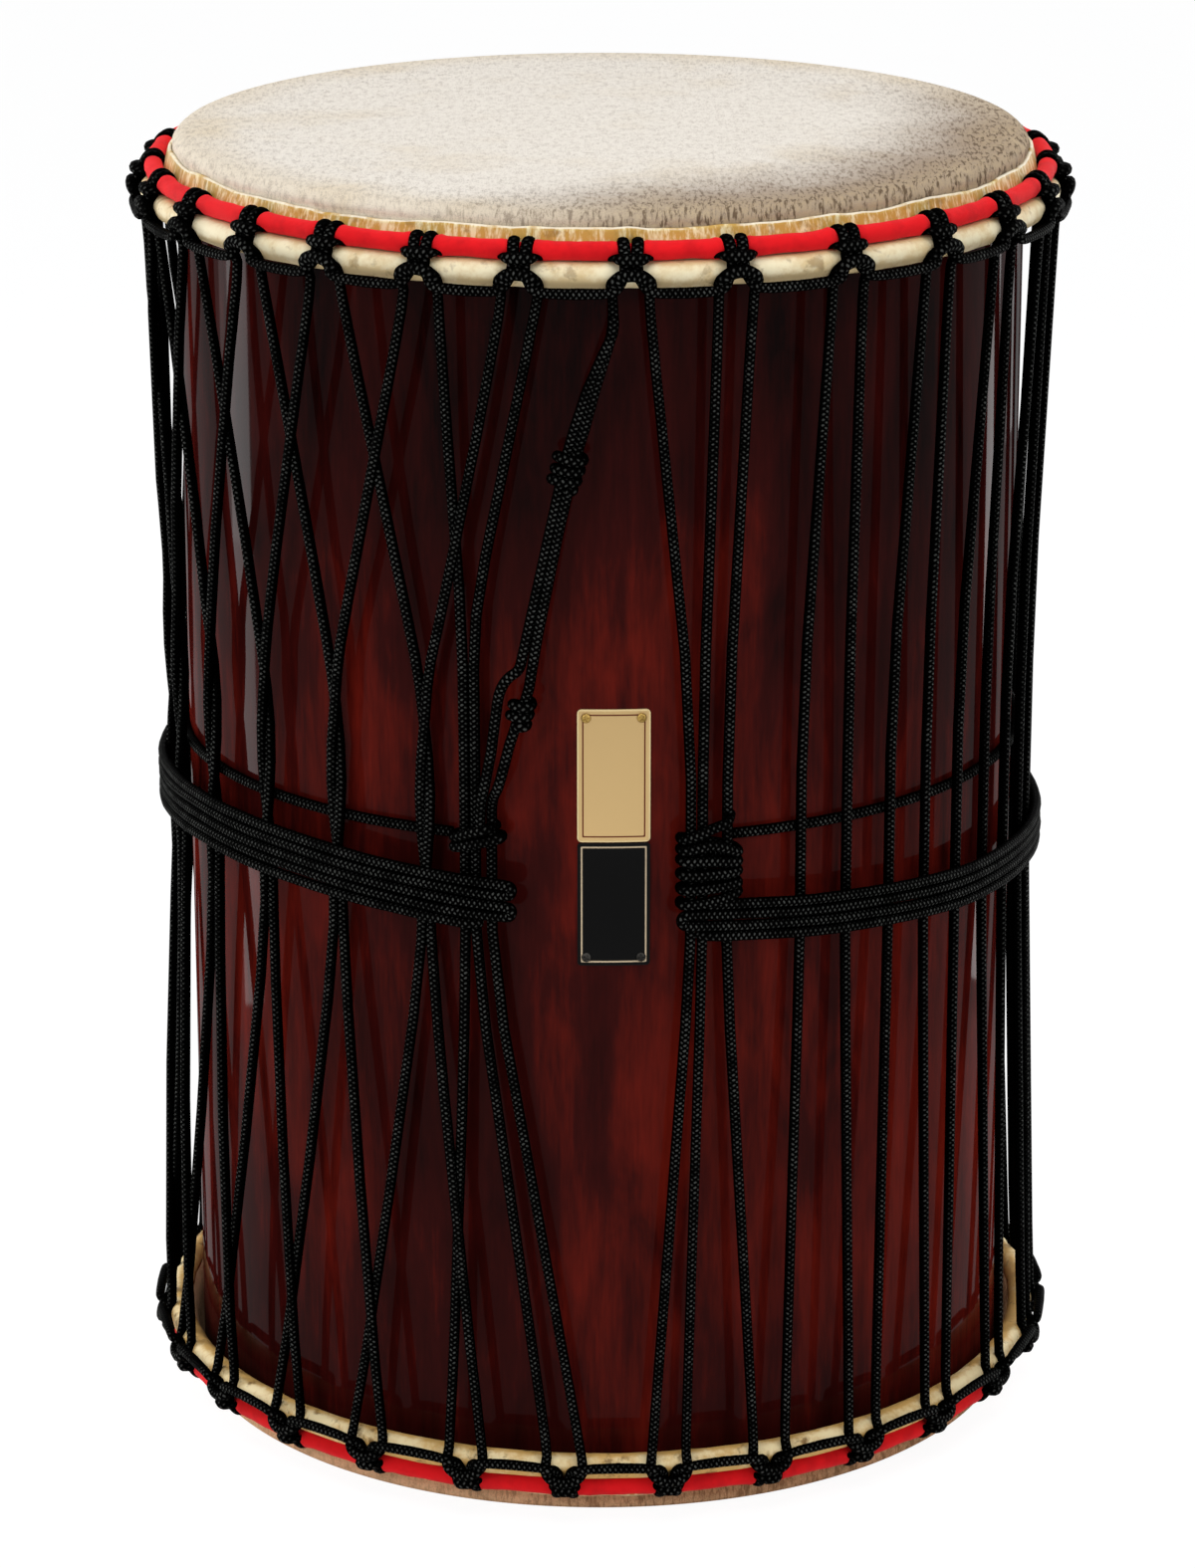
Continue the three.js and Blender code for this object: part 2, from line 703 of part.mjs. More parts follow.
// Turns round a bundle of ropes that stand side by side between two angles.
function makeBundleKnot(name, knot) {
  const middle = (knot.from + knot.to) / 2;
  const straight = ((knot.to - knot.from) / 2) * radiansPerDegree * waistRadius;
  const clear = 2 * ropeRadius + ropeGap;
  const corner = clear * knotCornerShare;
  const front = [
    [-straight, clear],
    [straight, clear],
    [straight + corner, corner],
    [straight + clear, 0],
    [straight + corner, -corner],
  ];
  const lap = [...front, ...front.map(([across, out]) => [-across, -out])];
  const count = Math.round(knot.turns * lap.length);
  const stations = Array.from({ length: count + 1 }, (_, i) => {
    const [across, out] = lap[i % lap.length];
    const angle = middle + degreesOf(across, waistRadius);
    const height = knot.height - (strandPitch * i) / lap.length;
    return { ...ropeStation(angle, waistRadius + out, height), up: new THREE.Vector3(0, 0, 1) };
  });
  return wound(name, stations, ropeSides, lap.length - 2);
}

// The strand under the lacing, which lies on the shell from one knot round the back to the other.
function makeInnerStrand() {
  const side = degreesOf(3 * ropeRadius + 2 * ropeGap, waistRadius);
  const from = rightKnot.to + side;
  const to = leftKnot.from + fullTurn - side;
  const radius = shellRadius + (seatGap + ropeRadius) / Math.cos((facetAngle / 2) * radiansPerDegree);
  const angles = [from];
  for (let i = 0; i < facets + 2; i += 1) {
    const corner = plateAngle + (i + 1 / 2) * facetAngle;
    if (corner > from && corner < to) angles.push(corner);
  }
  angles.push(to);
  const stations = angles.map((angle) => ropeStation(angle, radius, innerStrandHeight));
  return new THREE.Mesh(tube(stations, ropeSides), blackRope);
}

function wrapHeight(angle, pass) {
  const after = Math.max(wrapTopShares.findIndex((place) => place.angle >= angle), 1);
  const [a, b] = [wrapTopShares[after - 1], wrapTopShares[after]];
  const between = (angle - a.angle) / (b.angle - a.angle);
  return mix(a.share, b.share, between) * drumHeight - pass * strandPitch;
}

// The waist wrap: one rope that goes back and forth round the drum outside the lacing and turns
// back at each side of the front. Its last end goes up to the left knot.
function makeWaistWrap() {
  const step = (wrapLeftEnd - wrapRightEnd) / wrapSteps;
  const radius = (waistRadius + 2 * ropeRadius + ropeGap) / Math.cos((step / 2) * radiansPerDegree);
  const angles = Array.from({ length: wrapSteps + 1 }, (_, i) => wrapRightEnd + i * step);
  const stations = [];
  for (let pass = wrapPasses - 1; pass >= 0; pass -= 1) {
    const isRightward = pass % 2 === 1;
    const start = pass === wrapPasses - 1 ? wrapStart : 0;
    const along = angles.filter((angle) => angle >= start);
    const ordered = isRightward ? along.toReversed() : along;
    ordered.forEach((angle) => stations.push(ropeStation(angle, radius, wrapHeight(angle, pass))));
    if (pass === 0) break;
    const end = isRightward ? wrapRightEnd : wrapLeftEnd;
    const middle = wrapHeight(end, pass) + strandPitch / 2;
    [45, 90, 135].forEach((turn) => {
      const out = (isRightward ? -1 : 1) * Math.sin(turn * radiansPerDegree) * (strandPitch / 2);
      const rise = -Math.cos(turn * radiansPerDegree) * (strandPitch / 2);
      stations.push(ropeStation(end + degreesOf(out, radius), radius, middle + rise));
    });
  }
  return wound("waist wrap", stations, windingSides, 5);
}

const group = new THREE.Group();

function add(name, mesh) {
  mesh.name = name;
  group.add(mesh);
}

add("shell", makeShell());
[true, false].forEach((isTop) => {
  const end = isTop ? "top" : "bottom";
  add(`head_skin_${end}`, makeHead(isTop));
  add(`flesh_ring_${end}`, turned(polygon(roll, fleshRodRadius, rodSides), isTop, iron));
  add(`crown_ring_${end}`, turned(polygon(crown, crownRodRadius, rodSides), isTop, iron));
  add(`cloth_wrap_${end}`, makeCloth(isTop));
  add(`cradle_rope_${end}`, makeCradle(isTop));
});
add("lacing_rope", makeLacing());
add("tail_rope", makeTail());
add("waist_knot_left", makeBundleKnot("left knot", leftKnot));
add("waist_knot_right", makeBundleKnot("right knot", rightKnot));
add("waist_inner_strand", makeInnerStrand());
add("waist_wrap", makeWaistWrap());
add("upper_plate", makePlate(upperPlate, goldPlate));
add("lower_plate", makePlate(lowerPlate, blackPlate));
screwPlaces().forEach((place) => add(place.name, makeScrew(place)));

export default group;
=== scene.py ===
"""Looks of a rope-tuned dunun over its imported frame: shell, hide heads, cloth, ropes and plates.

Lengths in this file are millimetres and angles are degrees from the front towards +X, unless a
name says otherwise. They become metres where a point is placed.
"""

import logging
import math
from dataclasses import dataclass, field
from enum import Enum
from typing import Callable, Iterable, Optional, Sequence, Union

import bmesh
import bpy
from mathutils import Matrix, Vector, noise


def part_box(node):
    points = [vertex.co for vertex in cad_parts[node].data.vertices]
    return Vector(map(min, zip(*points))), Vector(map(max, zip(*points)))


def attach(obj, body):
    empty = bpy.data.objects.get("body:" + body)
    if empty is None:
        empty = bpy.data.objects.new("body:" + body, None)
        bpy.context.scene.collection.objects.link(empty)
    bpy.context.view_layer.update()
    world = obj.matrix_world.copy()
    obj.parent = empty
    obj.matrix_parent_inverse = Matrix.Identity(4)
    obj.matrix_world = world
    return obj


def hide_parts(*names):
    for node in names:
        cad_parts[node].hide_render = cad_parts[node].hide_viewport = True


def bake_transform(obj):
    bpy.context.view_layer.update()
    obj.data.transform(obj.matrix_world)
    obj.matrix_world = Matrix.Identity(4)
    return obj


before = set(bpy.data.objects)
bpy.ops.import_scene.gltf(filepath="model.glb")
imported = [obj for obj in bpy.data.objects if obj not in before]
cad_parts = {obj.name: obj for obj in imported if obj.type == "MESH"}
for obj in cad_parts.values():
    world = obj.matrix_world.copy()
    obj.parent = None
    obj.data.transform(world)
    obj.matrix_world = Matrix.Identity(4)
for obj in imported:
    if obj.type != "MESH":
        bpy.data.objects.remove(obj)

log = logging.getLogger("dunun")

METRES = 0.001
FULL_TURN = 360.0
DRUM_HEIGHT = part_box("head_skin_top")[1][2] / METRES
SHELL_RADIUS = 197.5
HIDE_THICKNESS = 1.5
SEAT_GAP = 0.35
ROPE_RADIUS = 2.45
HITCH_COUNT = 27
FIRST_LACED = 5
ROLL_RADIUS = 214.0
FOOT_RADIUS = 218.7
WAIST_RADIUS = 205.2
TAIL_STAND_OFF = 13.0
PLATE_ANGLE = 1.7
SHARP_ANGLE = 35.0

Colour = tuple[float, float, float, float]
Vertex = Union[bmesh.types.BMVert, bpy.types.MeshVertex]


def around(angle: float, radius: float, height: float) -> Vector:
    """Place a point given round the drum.

    Args:
        angle: Degrees from the front towards +X.
        radius: Distance from the drum's axis.
        height: Height above the floor.

    Returns:
        The point in metres.
    """
    turn = math.radians(angle)
    return Vector((radius * math.sin(turn), -radius * math.cos(turn), height)) * METRES


def degrees_of(length: float, radius: float) -> float:
    """Return the degrees that an arc of this length takes at this radius."""
    return math.degrees(length / radius)


def mix(a: float, b: float, share: float) -> float:
    """Return the value that lies this share of the way from a to b."""
    return a + (b - a) * share


def smooth(value: float, low: float, high: float) -> float:
    """Return a smooth step from 0 at low to 1 at high."""
    share = min(max((value - low) / (high - low), 0.0), 1.0)
    return share * share * (3 - 2 * share)


def wander(*place: float) -> float:
    """Return smooth noise from -1 to 1 at up to three coordinates."""
    return noise.noise(Vector((*place, *([0.37] * (3 - len(place))))))


def paint_of(code: int) -> Colour:
    """Turn a colour written as on a screen into the light that it stands for.

    Args:
        code: The colour as 0xRRGGBB.

    Returns:
        The linear colour with full opacity.
    """
    parts = [((code >> shift) & 255) / 255 for shift in (16, 8, 0)]
    linear = [p / 12.92 if p <= 0.04045 else ((p + 0.055) / 1.055) ** 2.4 for p in parts]
    return (*linear, 1.0)


@dataclass(frozen=True)
class Spot:
    """A point of an end's section: radius from the axis and depth from the head's face."""

    r: float
    d: float

    def moved(self, distance: float, degrees: float) -> "Spot":
        """Return the spot at this distance and angle; a quarter turn points back to the face."""
        turn = math.radians(degrees)
        return Spot(self.r + distance * math.cos(turn), self.d - distance * math.sin(turn))

    def grown(self, centre: "Spot", factor: float) -> "Spot":
        """Return the spot at this factor times its distance from a centre."""
        across, down = self.r - centre.r, self.d - centre.d
        return Spot(centre.r + across * factor, centre.d + down * factor)


class End(Enum):
    """The two ends of the drum."""

    TOP = "top"
    BOTTOM = "bottom"

    def height(self, depth: float) -> float:
        """Return the height of a place at this depth from the end's face."""
        return DRUM_HEIGHT - depth if self is End.TOP else depth

    @property
    def hoop(self) -> str:
        """Name the body that slides at this end."""
        return f"{self.value}_hoop"


def spread_hitches(seen: Sequence[float]) -> list[float]:
    """Space the hitches at the back evenly between the ones that are given.

    Args:
        seen: Angles of the hitches at the front and sides, from left to right.

    Returns:
        The angles of all the hitches, which start with the seen ones.
    """
    hidden = HITCH_COUNT - len(seen)
    first, last = seen[0] + FULL_TURN, seen[-1]
    return [*seen, *(last + (first - last) * (i + 1) / (hidden + 1) for i in range(hidden))]


HITCHES = {
    End.TOP: spread_hitches([-60, -47, -34.5, -21.5, -9.5, 3.5, 16, 30.5, 44.5, 58, 72]),
    End.BOTTOM: spread_hitches([-57, -43.5, -30.5, -17, -4.5, 8.5, 21.5, 35, 48, 62, 76.5]),
}


def hitch_angle(end: End, k: int) -> float:
    """Return the angle of hitch k, which may run past either end of the list."""
    turns, index = divmod(k, HITCH_COUNT)
    return HITCHES[end][index] + turns * FULL_TURN


def from_hitch(end: End, angle: float) -> float:
    """Return how far an angle is from the nearest hitch of an end, as an arc at the roll."""
    apart = min(abs((angle - hitch + 180) % FULL_TURN - 180) for hitch in HITCHES[end])
    return math.radians(apart) * ROLL_RADIUS


# Angle, and share of the drum's height, of the waist wrap's top strand
WRAP_TOP_SHARES = (
    (10.5, 0.4894), (34, 0.4804), (53, 0.4717), (90, 0.4657), (130, 0.4706), (180, 0.4853),
    (230, 0.5), (265, 0.5082), (300, 0.5172), (318, 0.5158), (348.5, 0.5041),
)


def wrap_top(angle: float) -> float:
    """Find how high the waist wrap's top strand runs.

    Args:
        angle: Degrees from the front towards +X, in any turn.

    Returns:
        The height.
    """
    place = angle % FULL_TURN
    for (a, low), (b, high) in zip(WRAP_TOP_SHARES, WRAP_TOP_SHARES[1:]):
        if a <= place <= b:
            share = smooth(place, a, b) * 0.4 + (place - a) / (b - a) * 0.6
            return mix(low, high, share) * DRUM_HEIGHT
    nearest = WRAP_TOP_SHARES[0 if place < WRAP_TOP_SHARES[0][0] else -1]
    return nearest[1] * DRUM_HEIGHT


@dataclass(frozen=True)
class HeadSection:
    """Section of one end: the bearing edge, the roll round the flesh hoop and the crown hoop."""

    bearing_round: float = 8.0
    flesh_rod: float = 4.0
    flesh_stand_off: float = 11.2
    flesh_depth: float = 25.5
    cloth_radius: float = 4.2

    @property
    def hide_line(self) -> float:
        """Distance of the strip's middle from the bearing edge's centre."""
        return self.bearing_round + SEAT_GAP + HIDE_THICKNESS / 2

    @property
    def roll_line(self) -> float:
        """Distance of the strip's middle from the flesh hoop's centre."""
        return self.flesh_rod + SEAT_GAP + HIDE_THICKNESS / 2

    @property
    def bearing(self) -> Spot:
        """Centre of the bearing edge's rounding."""
        face = HIDE_THICKNESS + SEAT_GAP + self.bearing_round
        return Spot(SHELL_RADIUS - self.bearing_round, face)

    @property
    def roll(self) -> Spot:
        """Centre of the flesh hoop."""
        return Spot(SHELL_RADIUS + self.flesh_stand_off, self.flesh_depth)

    @property
    def wall_drop(self) -> float:
        """Angle in radians at which the strip runs down from the edge to the roll."""
        across = self.roll.r - self.bearing.r
        down = self.roll.d - self.bearing.d
        lean = math.asin((self.hide_line + self.roll_line) / math.hypot(across, down))
        return math.atan2(down, across) + lean

    @property
    def wall_normal(self) -> float:
        """Angle in degrees that points out of the strip between the edge and the roll."""
        return 90 - math.degrees(self.wall_drop)

    @property
    def crown(self) -> Spot:
        """Centre of the crown hoop, which stands on the roll and clears the collar."""
        face = 3 * HIDE_THICKNESS / 2 + SEAT_GAP - self.roll_line
        clear = face + SEAT_GAP + self.cloth_radius
        stack = self.roll_line + HIDE_THICKNESS / 2 + self.cloth_radius + SEAT_GAP
        slide = math.sqrt(stack**2 - clear**2)
        out = self.roll.moved(clear, self.wall_normal)
        return out.moved(slide, self.wall_normal + 90)


SECTION = HeadSection()


# Shader building


class Reading:
    """A node's output that takes part in arithmetic: each operator adds one Math node."""

    def __init__(self, bench: "Bench", socket: bpy.types.NodeSocket) -> None:
        """Keep the material's bench and the socket that is read."""
        self.bench = bench
        self.socket = socket

    def _worked(self, operation: str, first: "Amount", second: "Amount") -> "Reading":
        """Return the result of one Math node."""
        return self.bench.node("ShaderNodeMath", {"operation": operation}, {0: first, 1: second})

    def __add__(self, other: "Amount") -> "Reading":
        """Add."""
        return self._worked("ADD", self, other)

    __radd__ = __add__

    def __sub__(self, other: "Amount") -> "Reading":
        """Take other away."""
        return self._worked("SUBTRACT", self, other)

    def __rsub__(self, other: "Amount") -> "Reading":
        """Take this away from other."""
        return self._worked("SUBTRACT", other, self)

    def __mul__(self, other: "Amount") -> "Reading":
        """Multiply."""
        return self._worked("MULTIPLY", self, other)

    __rmul__ = __mul__

    def __truediv__(self, other: "Amount") -> "Reading":
        """Divide."""
        return self._worked("DIVIDE", self, other)

    def __pow__(self, other: "Amount") -> "Reading":
        """Raise to a power."""
        return self._worked("POWER", self, other)

    def __abs__(self) -> "Reading":
        """Drop the sign."""
        return self._worked("ABSOLUTE", self, 0.0)

    def __mod__(self, other: "Amount") -> "Reading":
        """Return the rest, which is never negative."""
        return self._worked("FLOORED_MODULO", self, other)


Amount = Union[Reading, float]
Paint = Union[Reading, Colour]


class Bench:
    """The bench on which one material's nodes are put together."""

    def __init__(self, name: str) -> None:
        """Start a material with a bare surface shader.

        Args:
            name: The material's name.
        """
        self.material = bpy.data.materials.new(name)
        self.material.use_nodes = True
        self.tree = self.material.node_tree
        self.shader = next(n for n in self.tree.nodes if n.type == "BSDF_PRINCIPLED")

    @staticmethod
    def _socket(
        sockets: Iterable[bpy.types.NodeSocket], key: Union[int, str]
    ) -> bpy.types.NodeSocket:
        """Find a socket.

        Args:
            sockets: A node's inputs or outputs.
            key: The socket's number, identifier or name.

        Returns:
            The socket.
        """
        if isinstance(key, int):
            return sockets[key]
        for socket in sockets:
            if socket.identifier == key:
                return socket
        return sockets[key]

    def node(
        self,
        kind: str,
        settings: Optional[dict] = None,
        inputs: Optional[dict] = None,
        output: Union[int, str] = 0,
    ) -> Reading:
        """Add a node.

        Args:
            kind: The node's type.
            settings: What is set on the node first; stops are a ramp's colours.
            inputs: The value or the link of each socket, by number, identifier or name.
            output: The output that is read.

        Returns:
            The reading of that output.
        """
        node = self.tree.nodes.new(kind)
        for key, value in (settings or {}).items():
            if key == "stops":
                for _ in value[2:]:
                    node.color_ramp.elements.new(0.5)
                for element, (position, colour) in zip(node.color_ramp.elements, value):
                    element.position, element.color = position, colour
            else:
                setattr(node, key, value)
        for key, value in (inputs or {}).items():
            socket = self._socket(node.inputs, key)
            if isinstance(value, Reading):
                self.tree.links.new(value.socket, socket)
            else:
                socket.default_value = value
        return Reading(self, self._socket(node.outputs, output))

    def place(self) -> Reading:
        """Return the place on the piece, in metres."""
        return self.node("ShaderNodeTexCoord", output="Object")

    def attribute(self, name: str) -> Reading:
        """Return a vector that the piece's mesh carries."""
        return self.node("ShaderNodeAttribute", {"attribute_name": name}, output="Vector")

    def parts(self, vector: Reading) -> tuple[Reading, Reading, Reading]:
        """Split a vector.

        Args:
            vector: The vector.

        Returns:
            Its three numbers.
        """
        first = self.node("ShaderNodeSeparateXYZ", None, {0: vector})
        outputs = first.socket.node.outputs
        return first, Reading(self, outputs[1]), Reading(self, outputs[2])

    def vector(self, x: Amount, y: Amount, z: Amount) -> Reading:
        """Join three numbers into a vector."""
        return self.node("ShaderNodeCombineXYZ", None, {0: x, 1: y, 2: z})

    def stretched(self, vector: Reading, x: float, y: float, z: float) -> Reading:
        """Scale a vector by a factor for each axis."""
        settings = {"operation": "MULTIPLY"}
        return self.node("ShaderNodeVectorMath", settings, {0: vector, 1: (x, y, z)})

    def grain(
        self,
        vector: Reading,
        scale: float,
        detail: float = 3.0,
        rough: float = 0.5,
        warp: float = 0.0,
    ) -> Reading:
        """Return noise from 0 to 1.

        Args:
            vector: Where the noise is read.
            scale: How many patches there are to a unit.
            detail: How many finer layers are added.
            rough: How strong the finer layers are.
            warp: How far the pattern is bent.

        Returns:
            The reading of the noise.
        """
        inputs = {"Vector": vector, "Scale": scale, "Detail": detail}
        inputs |= {"Roughness": rough, "Distortion": warp}
        return self.node("ShaderNodeTexNoise", None, inputs)

    def step(self, value: Amount, low: float, high: float) -> Reading:
        """Step smoothly from 0 to 1.

        Args:
            value: The number that is read.
            low: Where the step is 0; it may be the larger end.
            high: Where the step is 1.

        Returns:
            The reading of the step.
        """
        settings = {"interpolation_type": "SMOOTHSTEP"}
        ends = (low, high, 0.0, 1.0) if low < high else (high, low, 1.0, 0.0)
        inputs = {0: value, 1: ends[0], 2: ends[1], 3: ends[2], 4: ends[3]}
        return self.node("ShaderNodeMapRange", settings, inputs)

    def sine(self, value: Reading) -> Reading:
        """Return the sine of a number."""
        return self.node("ShaderNodeMath", {"operation": "SINE"}, {0: value})

    def blend(self, share: Amount, first: Paint, second: Paint) -> Reading:
        """Mix two colours.

        Args:
            share: How much of the second colour there is.
            first: The first colour.
            second: The second colour.

        Returns:
            The mixed colour.
        """
        inputs = {"Factor_Float": share, "A_Color": first, "B_Color": second}
        return self.node("ShaderNodeMix", {"data_type": "RGBA"}, inputs, "Result_Color")

    def ramp(self, value: Reading, stops: Sequence[tuple[float, Colour]]) -> Reading:
        """Colour a number by stops from 0 to 1."""
        return self.node("ShaderNodeValToRGB", {"stops": stops}, {0: value})

    def bump(self, height: Reading, depth_mm: float, strength: float = 1.0) -> Reading:
        """Return the normal of a surface with this height.

        Args:
            height: The height, from 0 to 1.
            depth_mm: How deep 1 is.
            strength: How strongly it shows.

        Returns:
            The reading of the normal.
        """
        inputs = {"Height": height, "Distance": depth_mm * METRES, "Strength": strength}
        return self.node("ShaderNodeBump", None, inputs)

    def finished(self, **sockets: Union[Amount, Colour]) -> bpy.types.Material:
        """Set or link the shader's sockets.

        Args:
            sockets: The value or link of each socket, with _ for each space of its name.

        Returns:
            The finished material.
        """
        for name, value in sockets.items():
            socket = self.shader.inputs[name.replace("_", " ")]
            if isinstance(value, Reading):
                self.tree.links.new(value.socket, socket)
            else:
                socket.default_value = value
        return self.material


@dataclass(frozen=True)
class Lacquer:
    """Dark red-brown gloss lacquer over hardwood with upright figure."""

    name: str = "mahogany_lacquer"
    dark: int = 0x100404
    middle: int = 0x350B09
    bright: int = 0x6E1A10
    coat_roughness: float = 0.05

    def material(self) -> bpy.types.Material:
        """Put the lacquer together.

        Returns:
            The material.
        """
        b = Bench(self.name)
        place = b.place()
        _, _, z = b.parts(place)
        patches = b.grain(b.stretched(place, 1, 1, 0.42), 9.0, 2.0, 0.5, 0.6)
        mottle = b.grain(b.stretched(place, 1, 1, 0.3), 36.0, 4.0, 0.62, 0.5)
        streaks = b.grain(b.stretched(place, 1, 1, 0.07), 95.0, 3.0, 0.6, 0.25)
        fine = b.grain(b.stretched(place, 1, 1, 0.1), 520.0, 2.0, 0.6)
        ends = b.step(z, 0.57, 0.3) * 0.8 + b.step(z, 0.03, 0.12) * 0.2
        figure = patches * 0.95 + mottle * 0.85 + streaks * 0.45 + fine * 0.3
        depth = figure + ends * 0.33 - 1.08
        tones = ((0.0, self.dark), (0.45, self.middle), (0.95, self.bright))
        colour = b.ramp(depth, [(at, paint_of(code)) for at, code in tones])
        return b.finished(
            Base_Color=colour,
            Roughness=0.42,
            Specular_IOR_Level=0.0,
            Coat_Weight=0.2,
            Coat_IOR=1.25,
            Coat_Roughness=self.coat_roughness,
            Normal=b.bump(streaks, 0.12, 0.3),
        )


@dataclass(frozen=True)
class HairedHide:
    """Goat hide with its short hair left on."""

    name: str = "haired_hide"
    pale: int = 0xEBE4D9
    speck: int = 0x9C8C7C
    shade: int = 0x80623F
    rim: int = 0xD8C4A0
    root: int = 0x54402C
    shade_from: float = 0.05
    shade_to: float = 0.2

    def material(self) -> bpy.types.Material:
        """Put the haired hide together.

        Returns:
            The material.
        """
        b = Bench(self.name)
        place = b.place()
        x, y, z = b.parts(place)
        hairs = b.grain(b.stretched(place, 1.0, 0.3, 1.0), 1900.0, 3.0, 0.7)
        tufts = b.grain(b.stretched(place, 1.0, 0.6, 1.0), 260.0, 3.0, 0.65)
        locks = b.grain(b.stretched(place, 1.0, 0.22, 0.22), 640.0, 3.0, 0.65, 0.3)
        patches = b.grain(place, 16.0, 3.0, 0.55)
        from_axis = (x * x + y * y) ** 0.5
        rim = b.step(from_axis + patches * 0.05, 0.13, 0.215)
        aside = b.step(x * 0.8 - y * 0.6 + patches * 0.06, self.shade_from, self.shade_to)
        dark_side = rim * aside
        speckle = b.step(hairs * 0.5 + tufts * 0.3 + locks * 0.2 + dark_side * 0.04, 0.45, 0.64)
        base = b.blend(dark_side * 0.88, paint_of(self.pale), paint_of(self.shade))
        edge = b.step(from_axis + patches * 0.03, 0.175, 0.212)
        warm = b.blend(b.step(patches, 0.5, 0.75) * 0.25 + edge * 0.4, base, paint_of(self.rim))
        specked = b.blend(speckle * (dark_side * 0.2 + 0.5), warm, paint_of(self.speck))
        parting = b.step(locks + tufts * 0.2, 0.58, 0.74) * (dark_side * 0.7 + rim * 0.12)
        colour = b.blend(parting, specked, paint_of(self.root))
        return b.finished(
            Base_Color=colour,
            Roughness=0.9,
            Specular_IOR_Level=0.1,
            Normal=b.bump(hairs * 0.5 + tufts * 0.2 + locks * 0.3, 0.5, 0.7),
        )


@dataclass(frozen=True)
class BareHide:
    """Shaved hide, dried hard: yellow and streaked on the collar, cream on the roll."""

    name: str = "bare_hide"
    cream: int = 0xF2E6C2
    amber: int = 0xC69C4A
    brown: int = 0x7A5A30
    cut: int = 0xF8F0DC
    fibre: int = 0xEBDDAE
    ambered: float = 0.55
    spotted: float = 0.5
    middle: float = 19.0

    def material(self) -> bpy.types.Material:
        """Put the bare hide together.

        Returns:
            The material.
        """
        b = Bench(self.name)
        place = b.place()
        strip, from_tip, _ = b.parts(b.attribute("strip"))
        fibres = b.grain(b.stretched(place, 1, 1, 0.12), 420.0, 3.0, 0.65)
        cloudy = b.grain(place, 55.0, 4.0, 0.6)
        spots = b.step(b.grain(place, 120.0, 4.0, 0.6, 0.2) + cloudy * 0.3, 0.7, 0.86)
        collar = b.step(strip, 31.0, 35.0)
        fine = b.grain(place, 260.0, 4.0, 0.7)
        off_middle = b.step(abs(strip - self.middle), 1.5, 5.5)
        stain = b.step(cloudy * 0.7 + fine * 0.3 + off_middle * 0.16, 0.4, 0.66) * self.ambered
        base = b.blend(stain, paint_of(self.cream), paint_of(self.amber))
        streaked = b.blend(b.step(fibres, 0.42, 0.66), paint_of(self.amber), paint_of(self.fibre))
        colour = b.blend(collar, base, streaked)
        colour = b.blend(spots * self.spotted, colour, paint_of(self.brown))
        edge = b.step(from_tip + cloudy * 1.9, 1.75, 1.3) * b.step(cloudy, 0.36, 0.52)
        colour = b.blend(edge * 0.8, colour, paint_of(self.cut))
        return b.finished(
            Base_Color=colour,
            Roughness=0.55,
            Specular_IOR_Level=0.25,
            Normal=b.bump(fibres * 0.4 + cloudy * 0.3 + fine * 0.3, 0.45, 0.6),
        )


@dataclass(frozen=True)
class RedCloth:
    """Saturated red cotton, wound tight."""

    name: str = "red_cotton"
    red: int = 0xE8141C
    deep: int = 0xC00D16

    def material(self) -> bpy.types.Material:
        """Put the red cloth together.

        Returns:
            The material.
        """
        b = Bench(self.name)
        place = b.place()
        along, across, _ = b.parts(b.attribute("strip"))
        warp = b.sine(along * (2 * math.pi / 0.55))
        weft = b.sine(across * (2 * math.pi / 0.55))
        folds = b.grain(b.vector(along * 0.05 + across * 0.08, across * 0.02, 0.0), 2.0, 3.0, 0.6)
        wear_and_glint = b.grain(place, 70.0, 3.0, 0.6)
        colour = b.blend(b.step(wear_and_glint, 0.4, 0.7) * 0.6, paint_of(self.red), paint_of(self.deep))
        return b.finished(
            Base_Color=colour,
            Roughness=0.88,
            Specular_IOR_Level=0.15,
            Sheen_Weight=0.05,
            Normal=b.bump(folds + warp * weft * 0.08, 0.9, 0.6),
        )


